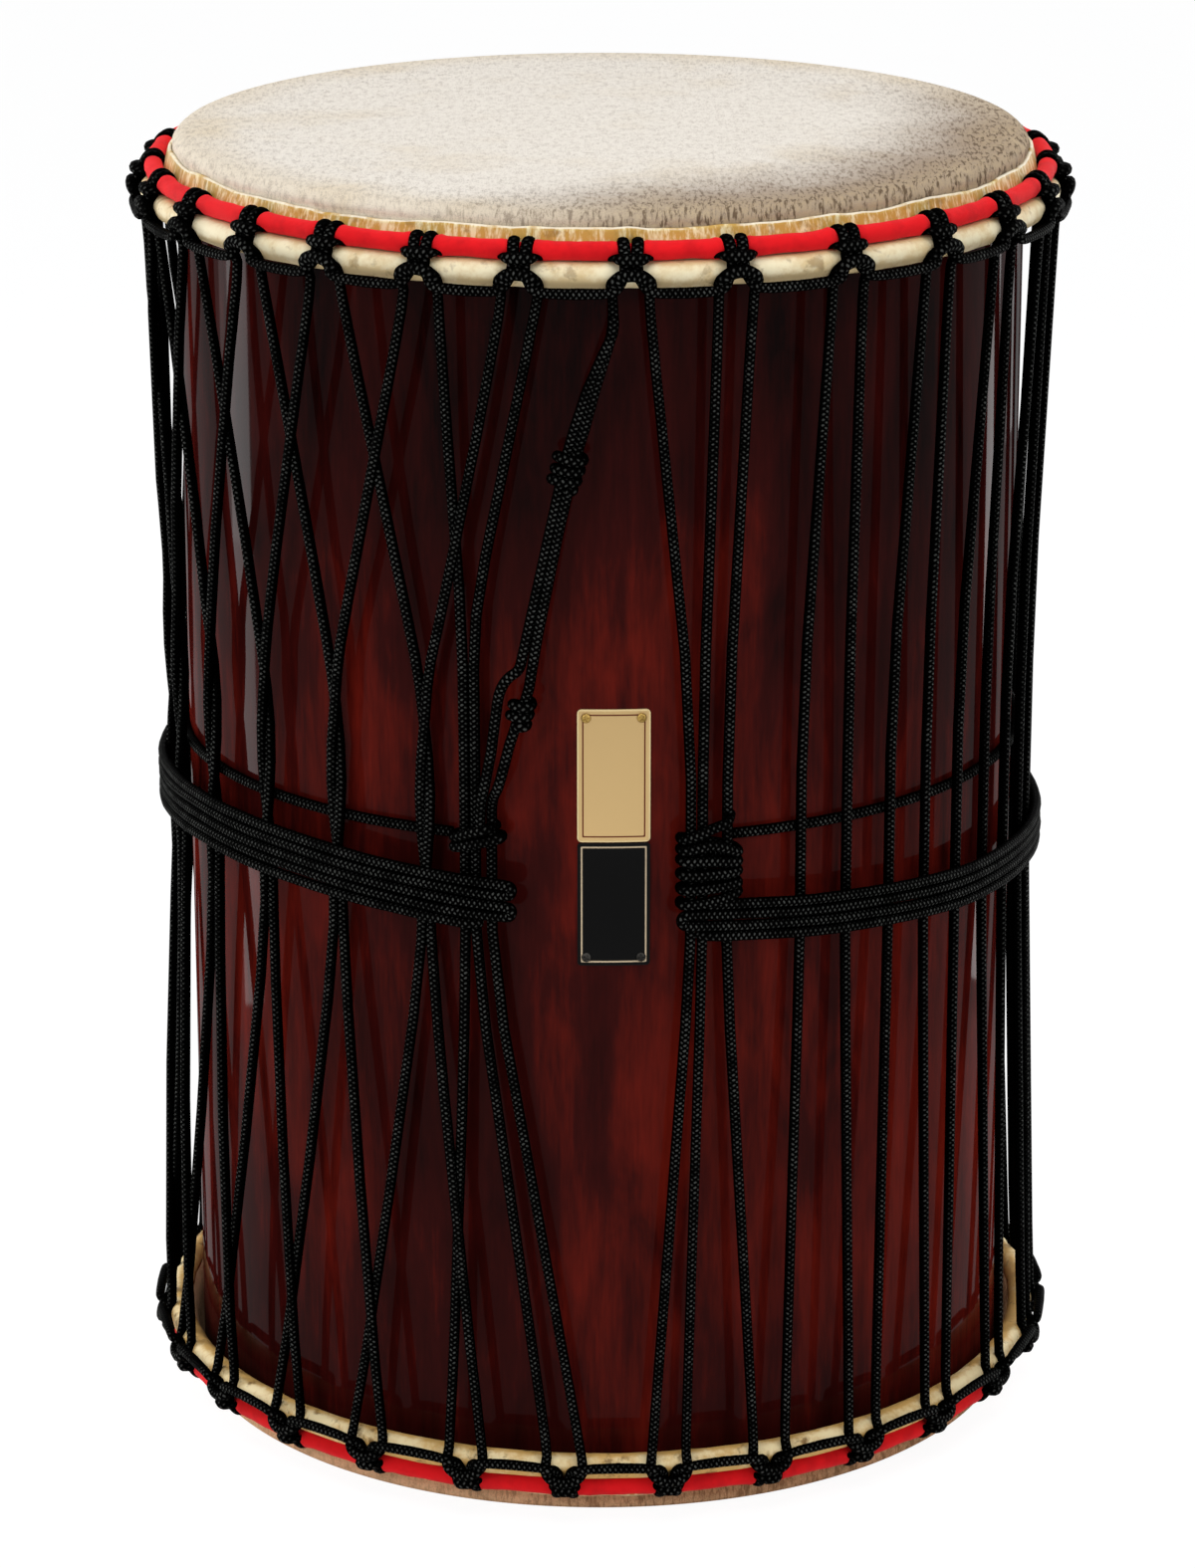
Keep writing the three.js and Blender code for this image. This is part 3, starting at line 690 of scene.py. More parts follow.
@dataclass(frozen=True)
class BraidedRope:
    """Black braided cord: four strands each way, painted paler with sheen and glints where it faces
    out.
    """

    name: str = "black_braid"
    strands: int = 4
    lay: float = 2.5
    black: int = 0x010101
    # Colour of the painted sheen on the outward yarn crests.
    body: int = 0x0C0C0B
    # Colour of the painted glints, highlights on the yarn crests.
    wear_and_glint: int = 0x70726E

    def material(self) -> bpy.types.Material:
        """Put the braid together, from how far round and along the rope each place is.

        Returns:
            The material.
        """
        b = Bench(self.name)
        cosine, sine, along = b.parts(b.attribute("braid"))
        turn = b.node("ShaderNodeMath", {"operation": "ARCTAN2"}, {0: sine, 1: cosine})
        round_it = turn * (self.strands / (2 * math.pi))
        rise = along * (1 / self.lay)
        left, right = round_it + rise, round_it - rise
        left_part, right_part = left % 1.0, right % 1.0
        parity = ((left - left_part) + (right - right_part)) % 2.0
        over_left = b.step(parity, 0.4, 0.6)
        crest_left = b.sine(left_part * math.pi)
        crest_right = b.sine(right_part * math.pi)
        broad = over_left * crest_left + (1 - over_left) * crest_right
        long = over_left * crest_right + (1 - over_left) * crest_left
        height = (broad**0.8) * (long**0.35)
        fuzz = b.grain(b.place(), 900.0, 2.0, 0.6)
        # Patches along the rope where the painted glints show.
        wear_and_glint = b.grain(b.place(), 120.0, 3.0, 0.6)
        facing, _, _ = b.parts(b.attribute("facing"))
        # Painted light on faces that point out from the drum, painted shade on faces towards
        # neighbouring strands and the shell.
        painted_outward_light = b.step(facing, 0.3, 0.95)
        # Painted glints: highlights on the yarn crests that face out.
        glint = b.step(height * 0.85 + fuzz * 0.15 + wear_and_glint * 0.5, 0.97, 1.2) * painted_outward_light
        # Painted sheen on the outward yarn crests; the grooves and inward faces stay darker, a
        # painted shade.
        yarn = b.blend(b.step(height, 0.3, 0.8) * painted_outward_light, paint_of(self.black), paint_of(self.body))
        colour = b.blend(glint * 0.4, yarn, paint_of(self.wear_and_glint))
        return b.finished(
            Base_Color=colour,
            Roughness=0.5,
            Specular_IOR_Level=0.003,
            Normal=b.bump(height + fuzz * 0.1, 0.8, 1.0),
        )


@dataclass(frozen=True)
class PlateFinish:
    """A thin metal plate with a border line printed inside its edge."""

    name: str
    face: int
    line: int
    edge: int
    metal: float
    roughness: float
    half_width: float
    half_height: float
    line_inset: float
    line_width: float
    corner_blend: float = 0.8

    def material(self) -> bpy.types.Material:
        """Put the plate's finish together, whose border follows the plate's own coordinates.

        Returns:
            The material.
        """
        b = Bench(self.name)
        x, z, _ = b.parts(b.attribute("plate"))
        gap = b.node(
            "ShaderNodeMath",
            {"operation": "SMOOTH_MIN"},
            {0: self.half_width - abs(x), 1: self.half_height - abs(z), 2: self.corner_blend},
        )
        line = b.step(abs(gap - self.line_inset), self.line_width, self.line_width * 0.6)
        rim = b.step(gap, 0.9, 0.5)
        brushed = b.grain(b.vector(x * 0.05, z * 2.0, 0.0), 6.0, 3.0, 0.6)
        tone = b.blend(brushed * 0.18, paint_of(self.face), paint_of(self.edge))
        colour = b.blend(line, b.blend(rim * 0.8, tone, paint_of(self.edge)), paint_of(self.line))
        return b.finished(
            Base_Color=colour,
            Metallic=self.metal,
            Roughness=self.roughness + brushed * 0.12,
            Specular_IOR_Level=0.06,
            Normal=b.bump(brushed, 0.02, 0.5),
        )


@dataclass(frozen=True)
class Metal:
    """Bare metal with fine scratches and dull patches."""

    name: str
    colour: int
    dull: int
    roughness: float

    def material(self) -> bpy.types.Material:
        """Put the metal together.

        Returns:
            The material.
        """
        b = Bench(self.name)
        place = b.place()
        scratches = b.grain(b.stretched(place, 1, 1, 6), 900.0, 2.0, 0.6)
        patches = b.step(b.grain(place, 260.0, 3.0, 0.6), 0.4, 0.7)
        return b.finished(
            Base_Color=b.blend(patches * 0.6, paint_of(self.colour), paint_of(self.dull)),
            Metallic=0.95,
            Roughness=self.roughness + scratches * 0.15,
            Normal=b.bump(scratches, 0.03, 0.4),
        )


# Pieces


def kept(
    piece: bpy.types.Object,
    material: bpy.types.Material,
    replaced: Sequence[str] = (),
) -> bpy.types.Object:
    """Dress a piece and hide the CAD nodes that it stands for.

    Args:
        piece: The piece.
        material: Its finish.
        replaced: The CAD nodes that it stands for.

    Returns:
        The same piece.
    """
    piece.data.materials.clear()
    piece.data.materials.append(material)
    if replaced:
        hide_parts(*replaced)
    log.info("%s: %d faces", piece.name, len(piece.data.polygons))
    return piece


def as_piece(name: str, mesh: bmesh.types.BMesh, is_smooth: bool = True) -> bpy.types.Object:
    """Turn a working mesh into an object in the scene.

    Args:
        name: The piece's name.
        mesh: The working mesh, which is freed.
        is_smooth: Whether its faces are shaded smooth.

    Returns:
        The new object.
    """
    data = bpy.data.meshes.new(name)
    mesh.to_mesh(data)
    mesh.free()
    for face in data.polygons:
        face.use_smooth = is_smooth
    piece = bpy.data.objects.new(name, data)
    bpy.context.scene.collection.objects.link(piece)
    return piece


def spun(
    profile: Sequence[Spot],
    end: End,
    steps: int,
    is_loop: bool = True,
) -> bmesh.types.BMesh:
    """Turn a section round the drum's axis.

    Args:
        profile: The section's outline, in order.
        end: The end whose face the depths are counted from.
        steps: How many faces there are round the drum.
        is_loop: Whether the outline's last point joins its first.

    Returns:
        A closed working mesh, with each vertex's length along the outline in mm in the layer strip.
    """
    mesh = bmesh.new()
    strip = mesh.verts.layers.float_vector.new("strip")
    length = 0.0
    verts = []
    for i, spot in enumerate(profile):
        if i:
            length += math.hypot(spot.r - profile[i - 1].r, spot.d - profile[i - 1].d)
        vert = mesh.verts.new(around(0, spot.r, end.height(spot.d)))
        vert[strip] = (length, 0, 0)
        verts.append(vert)
    edges = [mesh.edges.new(pair) for pair in zip(verts, verts[1:])]
    if is_loop:
        edges.append(mesh.edges.new((verts[-1], verts[0])))
    bmesh.ops.spin(
        mesh,
        geom=[*verts, *edges],
        cent=(0, 0, 0),
        axis=(0, 0, 1),
        angle=2 * math.pi,
        steps=steps,
        use_merge=True,
        use_duplicate=False,
    )
    bmesh.ops.remove_doubles(mesh, verts=mesh.verts, dist=1e-6)
    bmesh.ops.recalc_face_normals(mesh, faces=mesh.faces)
    return mesh


def reshape(verts: Iterable[Vertex], end: End, move: Callable[[float, Spot], Spot]) -> None:
    """Move each vertex within its own section of the drum.

    Args:
        verts: The vertices of a mesh or a working mesh.
        end: The end whose face the depths are counted from.
        move: Gives the new spot for an angle and the old spot.
    """
    for vert in verts:
        x, y, z = vert.co / METRES
        radius = math.hypot(x, y)
        if radius < 1:
            continue
        angle = math.degrees(math.atan2(x, -y))
        depth = DRUM_HEIGHT - z if end is End.TOP else z
        spot = move(angle, Spot(radius, depth))
        vert.co = around(angle, spot.r, end.height(spot.d))


@dataclass
class Shell:
    """The lacquered wooden cylinder."""

    wall: float = 12.0
    bore_chamfer: float = 4.0
    edge_steps: int = 6
    steps: int = 160
    sharp_angle: float = 40.0

    def outline(self) -> list[Spot]:
        """Draw the wall's section.

        Returns:
            Its outline, with a rounded bearing edge at each end.
        """
        face = HIDE_THICKNESS + SEAT_GAP
        bore = SHELL_RADIUS - self.wall
        half = [Spot(bore, face + self.bore_chamfer), Spot(bore + self.bore_chamfer, face)]
        for i in range(self.edge_steps + 1):
            angle = 90 * (1 - i / self.edge_steps)
            half.append(SECTION.bearing.moved(SECTION.bearing_round, angle))
        return [*half, *(Spot(p.r, DRUM_HEIGHT - p.d) for p in reversed(half))]

    def build(self, finish: bpy.types.Material) -> None:
        """Build the shell.

        Args:
            finish: The lacquer.
        """
        piece = as_piece("drum_body", spun(self.outline(), End.TOP, self.steps))
        piece.data.set_sharp_from_angle(angle=math.radians(self.sharp_angle))
        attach(kept(piece, finish, ["shell"]), "drum_shell")


@dataclass
class Head:
    """One hide head: the haired face, and the bare roll and collar that hold it."""

    end: End
    fur: float = 1.3
    face_radii: tuple[float, ...] = (0, 20, 50, 80, 110, 135, 155, 170, 181)
    face_steps: int = 240
    edge_steps: int = 10
    fur_from: float = 88.0
    fur_thick: tuple[float, float] = (50.0, 32.0)
    steps: int = 432
    roll_steps: int = 30
    collar_shares: tuple[float, ...] = (0.25, 0.5, 0.75, 0.9, 1.0)
    collar_tip: float = 7.0
    tip_wave: float = 1.9
    roll_swell: float = 0.35
    hitch_dent: float = 0.9
    held_within: float = 5.2
    roll_within: float = 6.4
    collar_from: float = 14.0
    far_from_tip: float = 40.0
    blend_from: float = 9.8
    blend_to: float = 22.0

    def face_outline(self) -> list[Spot]:
        """Draw the section of the face, its rounded edge and the wall down to the roll.

        Returns:
            The outline: the outer side, then the inner one back.
        """
        half = HIDE_THICKNESS / 2
        full, fading = self.fur_thick
        top = [Spot(r, 0.0) for r in self.face_radii]
        under = [Spot(r, HIDE_THICKNESS) for r in self.face_radii]
        for i in range(self.edge_steps + 1):
            angle = mix(90, SECTION.wall_normal, i / self.edge_steps)
            thinning = smooth(angle, SECTION.wall_normal - 1, fading)
            fur = self.fur * smooth(angle, self.fur_from, full) * thinning
            spot = SECTION.bearing.moved(SECTION.hide_line + half + fur, angle)
            top.append(Spot(spot.r, max(spot.d, 0.0)))
            under.append(SECTION.bearing.moved(SECTION.hide_line - half, angle))
        for side, line in ((half, top), (-half, under)):
            foot = SECTION.roll.moved(SECTION.roll_line - side, SECTION.wall_normal + 180)
            edge = line[-1]
            line.append(Spot(mix(edge.r, foot.r, 0.5), mix(edge.d, foot.d, 0.5)))
            line.append(foot)
        return [*top, *reversed(under)]

    def roll_outline(self) -> list[Spot]:
        """Draw the section of the roll and of the collar inside the crown hoop.

        Returns:
            The outline: one side, then the other one back.
        """
        lines = []
        for side in (-1, 1):
            half = side * HIDE_THICKNESS / 2
            radius = SECTION.roll_line - half
            collar_line = SECTION.roll_line - HIDE_THICKNESS - SEAT_GAP + half
            leave = math.degrees(math.acos(collar_line / radius))
            line = []
            for i in range(self.roll_steps + 1):
                angle = SECTION.wall_normal + 180 + (FULL_TURN - leave) * i / self.roll_steps
                line.append(SECTION.roll.moved(radius, angle))
            last = line[-1]
            rise = (last.d - self.collar_tip) / math.sin(SECTION.wall_drop)
            for share in self.collar_shares:
                line.append(last.moved(rise * share, SECTION.wall_normal + 90))
            lines.append(line)
        return [*lines[0], *reversed(lines[1])]

    def settled(self, angle: float, spot: Spot) -> Spot:
        """Return where a spot of the roll or collar lies once it is tied down.

        Args:
            angle: Degrees round the drum.
            spot: The spot of the plain section.

        Returns:
            The spot with the hide's unevenness and the rope's dents.
        """
        seed = 3.0 if self.end is End.TOP else 8.0
        across = spot.r - SECTION.roll.r
        down = spot.d - SECTION.roll.d
        distance = math.hypot(across, down)
        arc = math.radians(angle) * ROLL_RADIUS
        if distance < self.roll_within:
            if distance < self.held_within:
                return spot
            waves = wander(arc / 16, down / 6, seed) * self.roll_swell
            dent = self.hitch_dent * math.exp(-((from_hitch(self.end, angle) / 5.5) ** 2))
            front = smooth(across, -1, 4)
            return spot.grown(SECTION.roll, (distance + waves - dent * front) / distance)
        up = smooth(spot.d, self.collar_from, self.collar_tip)
        wave = wander(arc / 38, seed, 1.7) * self.tip_wave + wander(arc / 9, seed, 5.1) * 0.5
        return Spot(spot.r + up * wander(arc / 30, seed, 9.3) * 0.5, spot.d + up * wave)

    def measure_from_tip(self, mesh: bmesh.types.BMesh) -> None:
        """Note how far each vertex of the turned roll is from the collar's cut edge.

        Args:
            mesh: The roll, before it is tied down.
        """
        strip = mesh.verts.layers.float_vector["strip"]
        side = 1 if self.end is End.BOTTOM else -1
        tip = min(side * vert.co.z for vert in mesh.verts)
        for vert in mesh.verts:
            is_collar = math.hypot(vert.co.x, vert.co.y) / METRES < SECTION.roll.r - 1
            from_tip = (side * vert.co.z - tip) / METRES if is_collar else self.far_from_tip
            vert[strip] = (vert[strip][0], from_tip, 0)

    def build(self, haired: bpy.types.Material, bare: bpy.types.Material) -> None:
        """Build the face and the roll.

        Args:
            haired: Finish of the face.
            bare: Finish of the roll and collar.
        """
        node = f"head_skin_{self.end.value}"
        mesh = spun(self.face_outline(), self.end, self.face_steps, False)
        face = as_piece(f"hide_face_{self.end.value}", mesh)
        kept(face, haired, [node])
        start = Vector((0, 0, self.end.height(self.blend_from) * METRES))
        stop = Vector((0, 0, self.end.height(self.blend_to) * METRES))
        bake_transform(face)
        mesh = spun(self.roll_outline(), self.end, self.steps)
        self.measure_from_tip(mesh)
        reshape(mesh.verts, self.end, self.settled)
        roll = as_piece(f"hide_roll_{self.end.value}", mesh)
        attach(kept(roll, bare, [node]), self.end.hoop)


@dataclass
class ClothWrap:
    """Red cloth wound on a crown hoop, pinched by the hitches."""

    end: End
    steps: int = 520
    sides: int = 20
    thickness: float = 0.8
    arc_radius: float = 211.0
    swell: float = 0.38
    crease: float = 0.18
    pinch: float = 0.9
    pinch_reach: float = 5.0
    bulge_at: float = 7.3
    bulge_reach: float = 1.7
    ease_at: float = 11.0
    ease_reach: float = 3.0
    seam: float = 215.0
    seam_gap: float = 6.0

    @property
    def inner_radius(self) -> float:
        """Radius of the cloth's inner side."""
        return SECTION.cloth_radius - self.thickness

    def outline(self) -> list[Spot]:
        """Draw the cloth's section.

        Returns:
            Its outline, open at a seam on the hidden side.
        """
        sweep = FULL_TURN - self.seam_gap
        outer, inner = [], []
        for i in range(self.sides + 1):
            angle = self.seam - sweep * i / self.sides
            outer.append(SECTION.crown.moved(SECTION.cloth_radius, angle))
            inner.append(SECTION.crown.moved(self.inner_radius, angle))
        return [*outer, *reversed(inner)]

    def settled(self, angle: float, spot: Spot) -> Spot:
        """Return where a spot of the cloth lies.

        Args:
            angle: Degrees round the drum.
            spot: The spot of the plain ring.

        Returns:
            The spot with folds, and with pinches and bulges at the hitches.
        """
        across, down = spot.r - SECTION.crown.r, spot.d - SECTION.crown.d
        distance = math.hypot(across, down)
        arc = math.radians(angle) * self.arc_radius
        near = from_hitch(self.end, angle)
        seed = 2.0 if self.end is End.TOP else 6.0
        pinch = -self.pinch * math.exp(-((near / self.pinch_reach) ** 4))
        plump = 0.6 + 0.5 * wander(arc / 19, seed + 7)
        beside = math.exp(-(((near - self.bulge_at) / self.bulge_reach) ** 2))
        ease = math.exp(-(((near - self.ease_at) / self.ease_reach) ** 2))
        bulge = plump * beside + 0.2 * ease
        folds = self.swell * wander(arc / 11, down / 5 + across / 7, seed)
        fine = self.crease * wander(arc / 3.1, down / 2, seed + 3)
        share = (distance - self.inner_radius) / self.thickness
        grow = (distance + (pinch + bulge + folds + fine) * share) / distance
        return spot.grown(SECTION.crown, grow)

    def build(self, finish: bpy.types.Material) -> None:
        """Args:
            finish: The red cloth.
        """
        mesh = spun(self.outline(), self.end, self.steps)
        strip = mesh.verts.layers.float_vector["strip"]
        for vert in mesh.verts:
            angle = math.atan2(vert.co.x, -vert.co.y)
            vert[strip] = (angle * SECTION.crown.r, vert[strip][0], 0)
        reshape(mesh.verts, self.end, self.settled)
        piece = as_piece(f"red_cloth_{self.end.value}", mesh)
        kept(piece, finish, [f"cloth_wrap_{self.end.value}"])
        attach(piece, self.end.hoop)
        middle = (SECTION.cloth_radius + self.inner_radius) / 2
        flat = (2 * math.pi * middle * METRES, 2 * math.pi * SECTION.crown.r * METRES)


@dataclass(frozen=True)
class Station:
    """A place on a rope's route, and how far from it the rope starts to turn."""

    angle: float
    radius: float
    height: float
    reach: float = 30.0
    thickness: float = ROPE_RADIUS

    def place(self) -> Vector:
        """Return the place in metres."""
        return around(self.angle, self.radius, self.height)


# Place in metres, rope radius and reach of one corner of a rope
Bend = tuple[Vector, float, float]

# Place across a hitch, spot and rope radius of one of its corners
Corner = tuple[float, Spot, float]


@dataclass
class Rope:
    """Ropes of one piece, each a tube along a route whose corners are rounded."""

    name: str
    sides: int = 10
    turn_step: float = 11.0
    least_step: float = 0.0004
    runs: list[tuple[list[tuple[Vector, float]], bool]] = field(default_factory=list)

    def add(self, stations: Sequence[Station], is_loop: bool = False) -> None:
        """Add one rope.

        Args:
            stations: The route, in order.
            is_loop: Whether the last station joins the first.
        """
        self.add_points([(s.place(), s.thickness, s.reach) for s in stations], is_loop)

    def add_points(self, points: Sequence[Bend], is_loop: bool = False) -> None:
        """Add one rope by its corners.

        Args:
            points: Place in metres, rope radius and reach of each corner, in mm.
            is_loop: Whether the last corner joins the first.
        """
        count = len(points)
        samples: list[tuple[Vector, float]] = []
        if not is_loop:
            samples.append(points[0][:2])
        for i in range(0 if is_loop else 1, count if is_loop else count - 1):
            corner, thickness, reach = points[i]
            before, after = points[i - 1], points[(i + 1) % count]
            back, ahead = before[0] - corner, after[0] - corner
            cut_back = min(reach * METRES, back.length / 2)
            cut_ahead = min(reach * METRES, ahead.length / 2)
            start = corner + back.normalized() * cut_back
            stop = corner + ahead.normalized() * cut_ahead
            turn = math.degrees((-back).angle(ahead, 0.0))
            steps = max(1, math.ceil(turn / self.turn_step))
            start_thick = mix(thickness, before[1], cut_back / max(back.length, 1e-9))
            stop_thick = mix(thickness, after[1], cut_ahead / max(ahead.length, 1e-9))
            for j in range(steps + 1):
                t = j / steps
                early, midway, late = (1 - t) ** 2, 2 * t * (1 - t), t**2
                place = start * early + corner * midway + stop * late
                wide = start_thick * early + thickness * midway + stop_thick * late
                if not samples or (place - samples[-1][0]).length > self.least_step:
                    samples.append((place, wide))
        if not is_loop:
            samples.append(points[-1][:2])
        elif (samples[-1][0] - samples[0][0]).length < self.least_step:
            samples.pop()
        self.runs.append((samples, is_loop))

    def build(self, finish: bpy.types.Material, replaced: Sequence[str]) -> bpy.types.Object:
        """Make the tubes; their vertices carry how far round and along the rope they are.

        Args:
            finish: The braid.
            replaced: The CAD nodes that the piece stands for.

        Returns:
            The piece, which doesn't ride on anything yet.
        """
        curve = bpy.data.curves.new(self.name, "CURVE")
        curve.dimensions = "3D"
        curve.bevel_depth = METRES
        curve.bevel_resolution = (self.sides - 4) // 2
        curve.use_fill_caps = False
        braid = []
        for samples, is_loop in self.runs:
            spline = curve.splines.new("POLY")
            spline.points.add(len(samples) - 1)
            spline.use_cyclic_u = is_loop
            length = 0.0
            for i, (place, wide) in enumerate(samples):
                spline.points[i].co = (*place, 1.0)
                spline.points[i].radius = wide
                if i:
                    length += (place - samples[i - 1][0]).length / METRES
                for side in range(self.sides):
                    turn = 2 * math.pi * side / self.sides
                    braid.extend((math.cos(turn), math.sin(turn), length))
        holder = bpy.data.objects.new(self.name, curve)
        bpy.context.scene.collection.objects.link(holder)
        graph = bpy.context.evaluated_depsgraph_get()
        data = bpy.data.meshes.new_from_object(holder.evaluated_get(graph))
        bpy.data.objects.remove(holder)
        bpy.data.curves.remove(curve)
        data.attributes.new("braid", "FLOAT_VECTOR", "POINT").data.foreach_set("vector", braid)
        # How far each vertex faces out from the drum, which the braid uses for its painted light
        # and painted shade.
        facing = []
        for vert in data.vertices:
            out = Vector((vert.co.x, vert.co.y, 0)).normalized()
            facing.extend((vert.normal.dot(out), 0.0, 0.0))
        data.attributes.new("facing", "FLOAT_VECTOR", "POINT").data.foreach_set("vector", facing)
        mesh = bmesh.new()
        mesh.from_mesh(data)
        bpy.data.meshes.remove(data)
        bmesh.ops.holes_fill(mesh, edges=[edge for edge in mesh.edges if edge.is_boundary], sides=0)
        return kept(as_piece(self.name, mesh), finish, replaced)


def mirrored(half: list[Corner], middle: Corner) -> list[Corner]:
    """Join a hitch's left corners, its middle one, and the left ones mirrored."""
    right = [(-across, spot, thick) for across, spot, thick in reversed(half)]
    return [*half, middle, *right]


@dataclass(frozen=True)
class Hitch:
    """How the cradle rope and the lacing meet at one hitch of an end."""

    strand: Spot
    foot: Spot
    apex: Spot
    bar: Spot
    bar_reach: float
    arch_thickness: float
    spread: float
    foot_spread: float = 7.8

    def cradle(self) -> list[Corner]:
        """Lay the cradle rope over the hoop.

        Returns:
            Its corners, from left to right.
        """
        strand, bar = self.strand, self.bar
        half = [
            (-9.6, strand, 2.2),
            (-6.8, Spot(strand.r - 0.1, strand.d - 0.9), 2.3),
            (-5.0, Spot(mix(strand.r, 215.0, 0.6), mix(strand.d, 24.6, 0.45)), 2.3),
            (-3.1, Spot(215.0, 24.8), 2.4),
            (-2.5, Spot(214.6, 21.4), 2.6),
            (-2.6, Spot(214.3, 17.6), 2.7),
            (-2.9 * self.spread, Spot(212.6, 13.0), 2.75),
            (-3.2 * self.spread, Spot(209.6, 10.4), 2.75),
            (-3.4 * self.spread, Spot(206.0, 10.2), 2.5),
            (-3.8, Spot(203.4, 12.6), 1.8),
            (-5.4, Spot(203.0, 16.6), 1.3),
            (-self.bar_reach + 1.4, Spot(206.2, 19.2), 1.0),
            (-self.bar_reach, Spot(210.0, bar.d + 1.2), 1.1),
            (-self.bar_reach + 1.6, Spot(213.6, bar.d + 0.4), 1.7),
            (-self.bar_reach * 0.48, Spot(bar.r - 0.5, bar.d), 2.7),
        ]
        return mirrored(half, (0.0, Spot(bar.r + 0.2, bar.d), 2.9))

    def arch(self) -> list[Corner]:
        """Lay the lacing over the hitch.

        Returns:
            Its corners, from left to right.
        """
        apex, full = self.apex, self.arch_thickness
        half = [
            (-self.foot_spread, self.foot, 2.3),
            (-8.3, Spot(self.foot.r + 0.8, mix(self.foot.d, self.strand.d, 0.75)), 2.3),
            (-8.8, Spot(215.2, mix(self.strand.d, apex.d, 0.36)), mix(2.3, full, 0.4)),
            (-7.2, Spot(217.8, mix(self.strand.d, apex.d, 0.66)), mix(2.3, full, 0.8)),
            (-4.0, Spot(apex.r, apex.d + 0.6), full),
        ]
        return mirrored(half, (0.0, Spot(apex.r + 0.1, apex.d - 0.1), full))


def tied(end: End, angle: float, corners: Sequence[Corner], k: int) -> list[Station]:
    """Lay a hitch's corners at an angle of the drum, a little uneven as tied by hand.

    Args:
        end: The end of the drum.
        angle: The hitch's angle.
        corners: Across, spot and rope radius of each corner.
        k: The hitch's number, which seeds the unevenness.

    Returns:
        The stations.
    """
    lean = 0.6 * wander(k * 1.7, 4.0 if end is End.TOP else 9.0)
    stations = []
    for across, spot, thick in corners:
        shift = lean * smooth(spot.d, 24, 12)
        place = angle + degrees_of(across + shift, ROLL_RADIUS)
        stations.append(Station(place, spot.r, end.height(spot.d), thickness=thick))
    return stations


HITCH = {
    End.TOP: Hitch(
        strand=Spot(217.6, 31.6), foot=Spot(212.1, 36.9), apex=Spot(218.2, 23.4),
        bar=Spot(216.6, 17.2), bar_reach=9.4, arch_thickness=3.0, spread=1.0,
    ),
    End.BOTTOM: Hitch(
        strand=Spot(219.2, 28.4), foot=Spot(213.3, 34.1), apex=Spot(218.7, 20.8),
        bar=Spot(216.0, 15.6), bar_reach=7.2, arch_thickness=2.6, spread=1.2,
    ),
}
FOOT_ANGLE = degrees_of(HITCH[End.TOP].foot_spread, FOOT_RADIUS)


@dataclass
class Cradle:
    """The rope hitched over a crown hoop, with the strand from hitch to hitch."""

    end: End
    sag: float = 0.5
    strand_shares: tuple[float, float] = (0.35, 0.65)
    bite: float = 1.3
    bite_depth: float = 3.3
    bite_until: tuple[float, float] = (7.6, 9.6)

    def build(self, finish: bpy.types.Material) -> None:
        """Build the rope.

        Args:
            finish: The braid.
        """
        hitch = HITCH[self.end]
        stations = []
        for k in range(HITCH_COUNT):
            here, there = hitch_angle(self.end, k), hitch_angle(self.end, k + 1)
            stations.extend(tied(self.end, here, hitch.cradle(), k))
            for share in self.strand_shares:
                spot = Spot(hitch.strand.r - 0.3, hitch.strand.d + self.sag)
                stations.append(Station(mix(here, there, share), spot.r, self.end.height(spot.d)))
        rope = Rope(f"cradle_{self.end.value}")
        rope.add(stations, True)
        piece = rope.build(finish, [f"cradle_rope_{self.end.value}"])
        reshape(piece.data.vertices, self.end, self.pressed)
        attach(piece, self.end.hoop)

    def pressed(self, _: float, spot: Spot) -> Spot:
        """Return where a spot of the rope lies once it bites into the cloth.

        Args:
            _: Degrees round the drum, which play no part here.
            spot: The spot of the round rope.

        Returns:
            The spot, pressed towards the crown hoop.
        """
        distance = math.hypot(spot.r - SECTION.crown.r, spot.d - SECTION.crown.d)
        near = min((distance - SECTION.cloth_radius) / self.bite_depth, 1.0)
        press = self.bite * near * (1 - smooth(distance, *self.bite_until))
        return spot.grown(SECTION.crown, (distance - press) / distance)


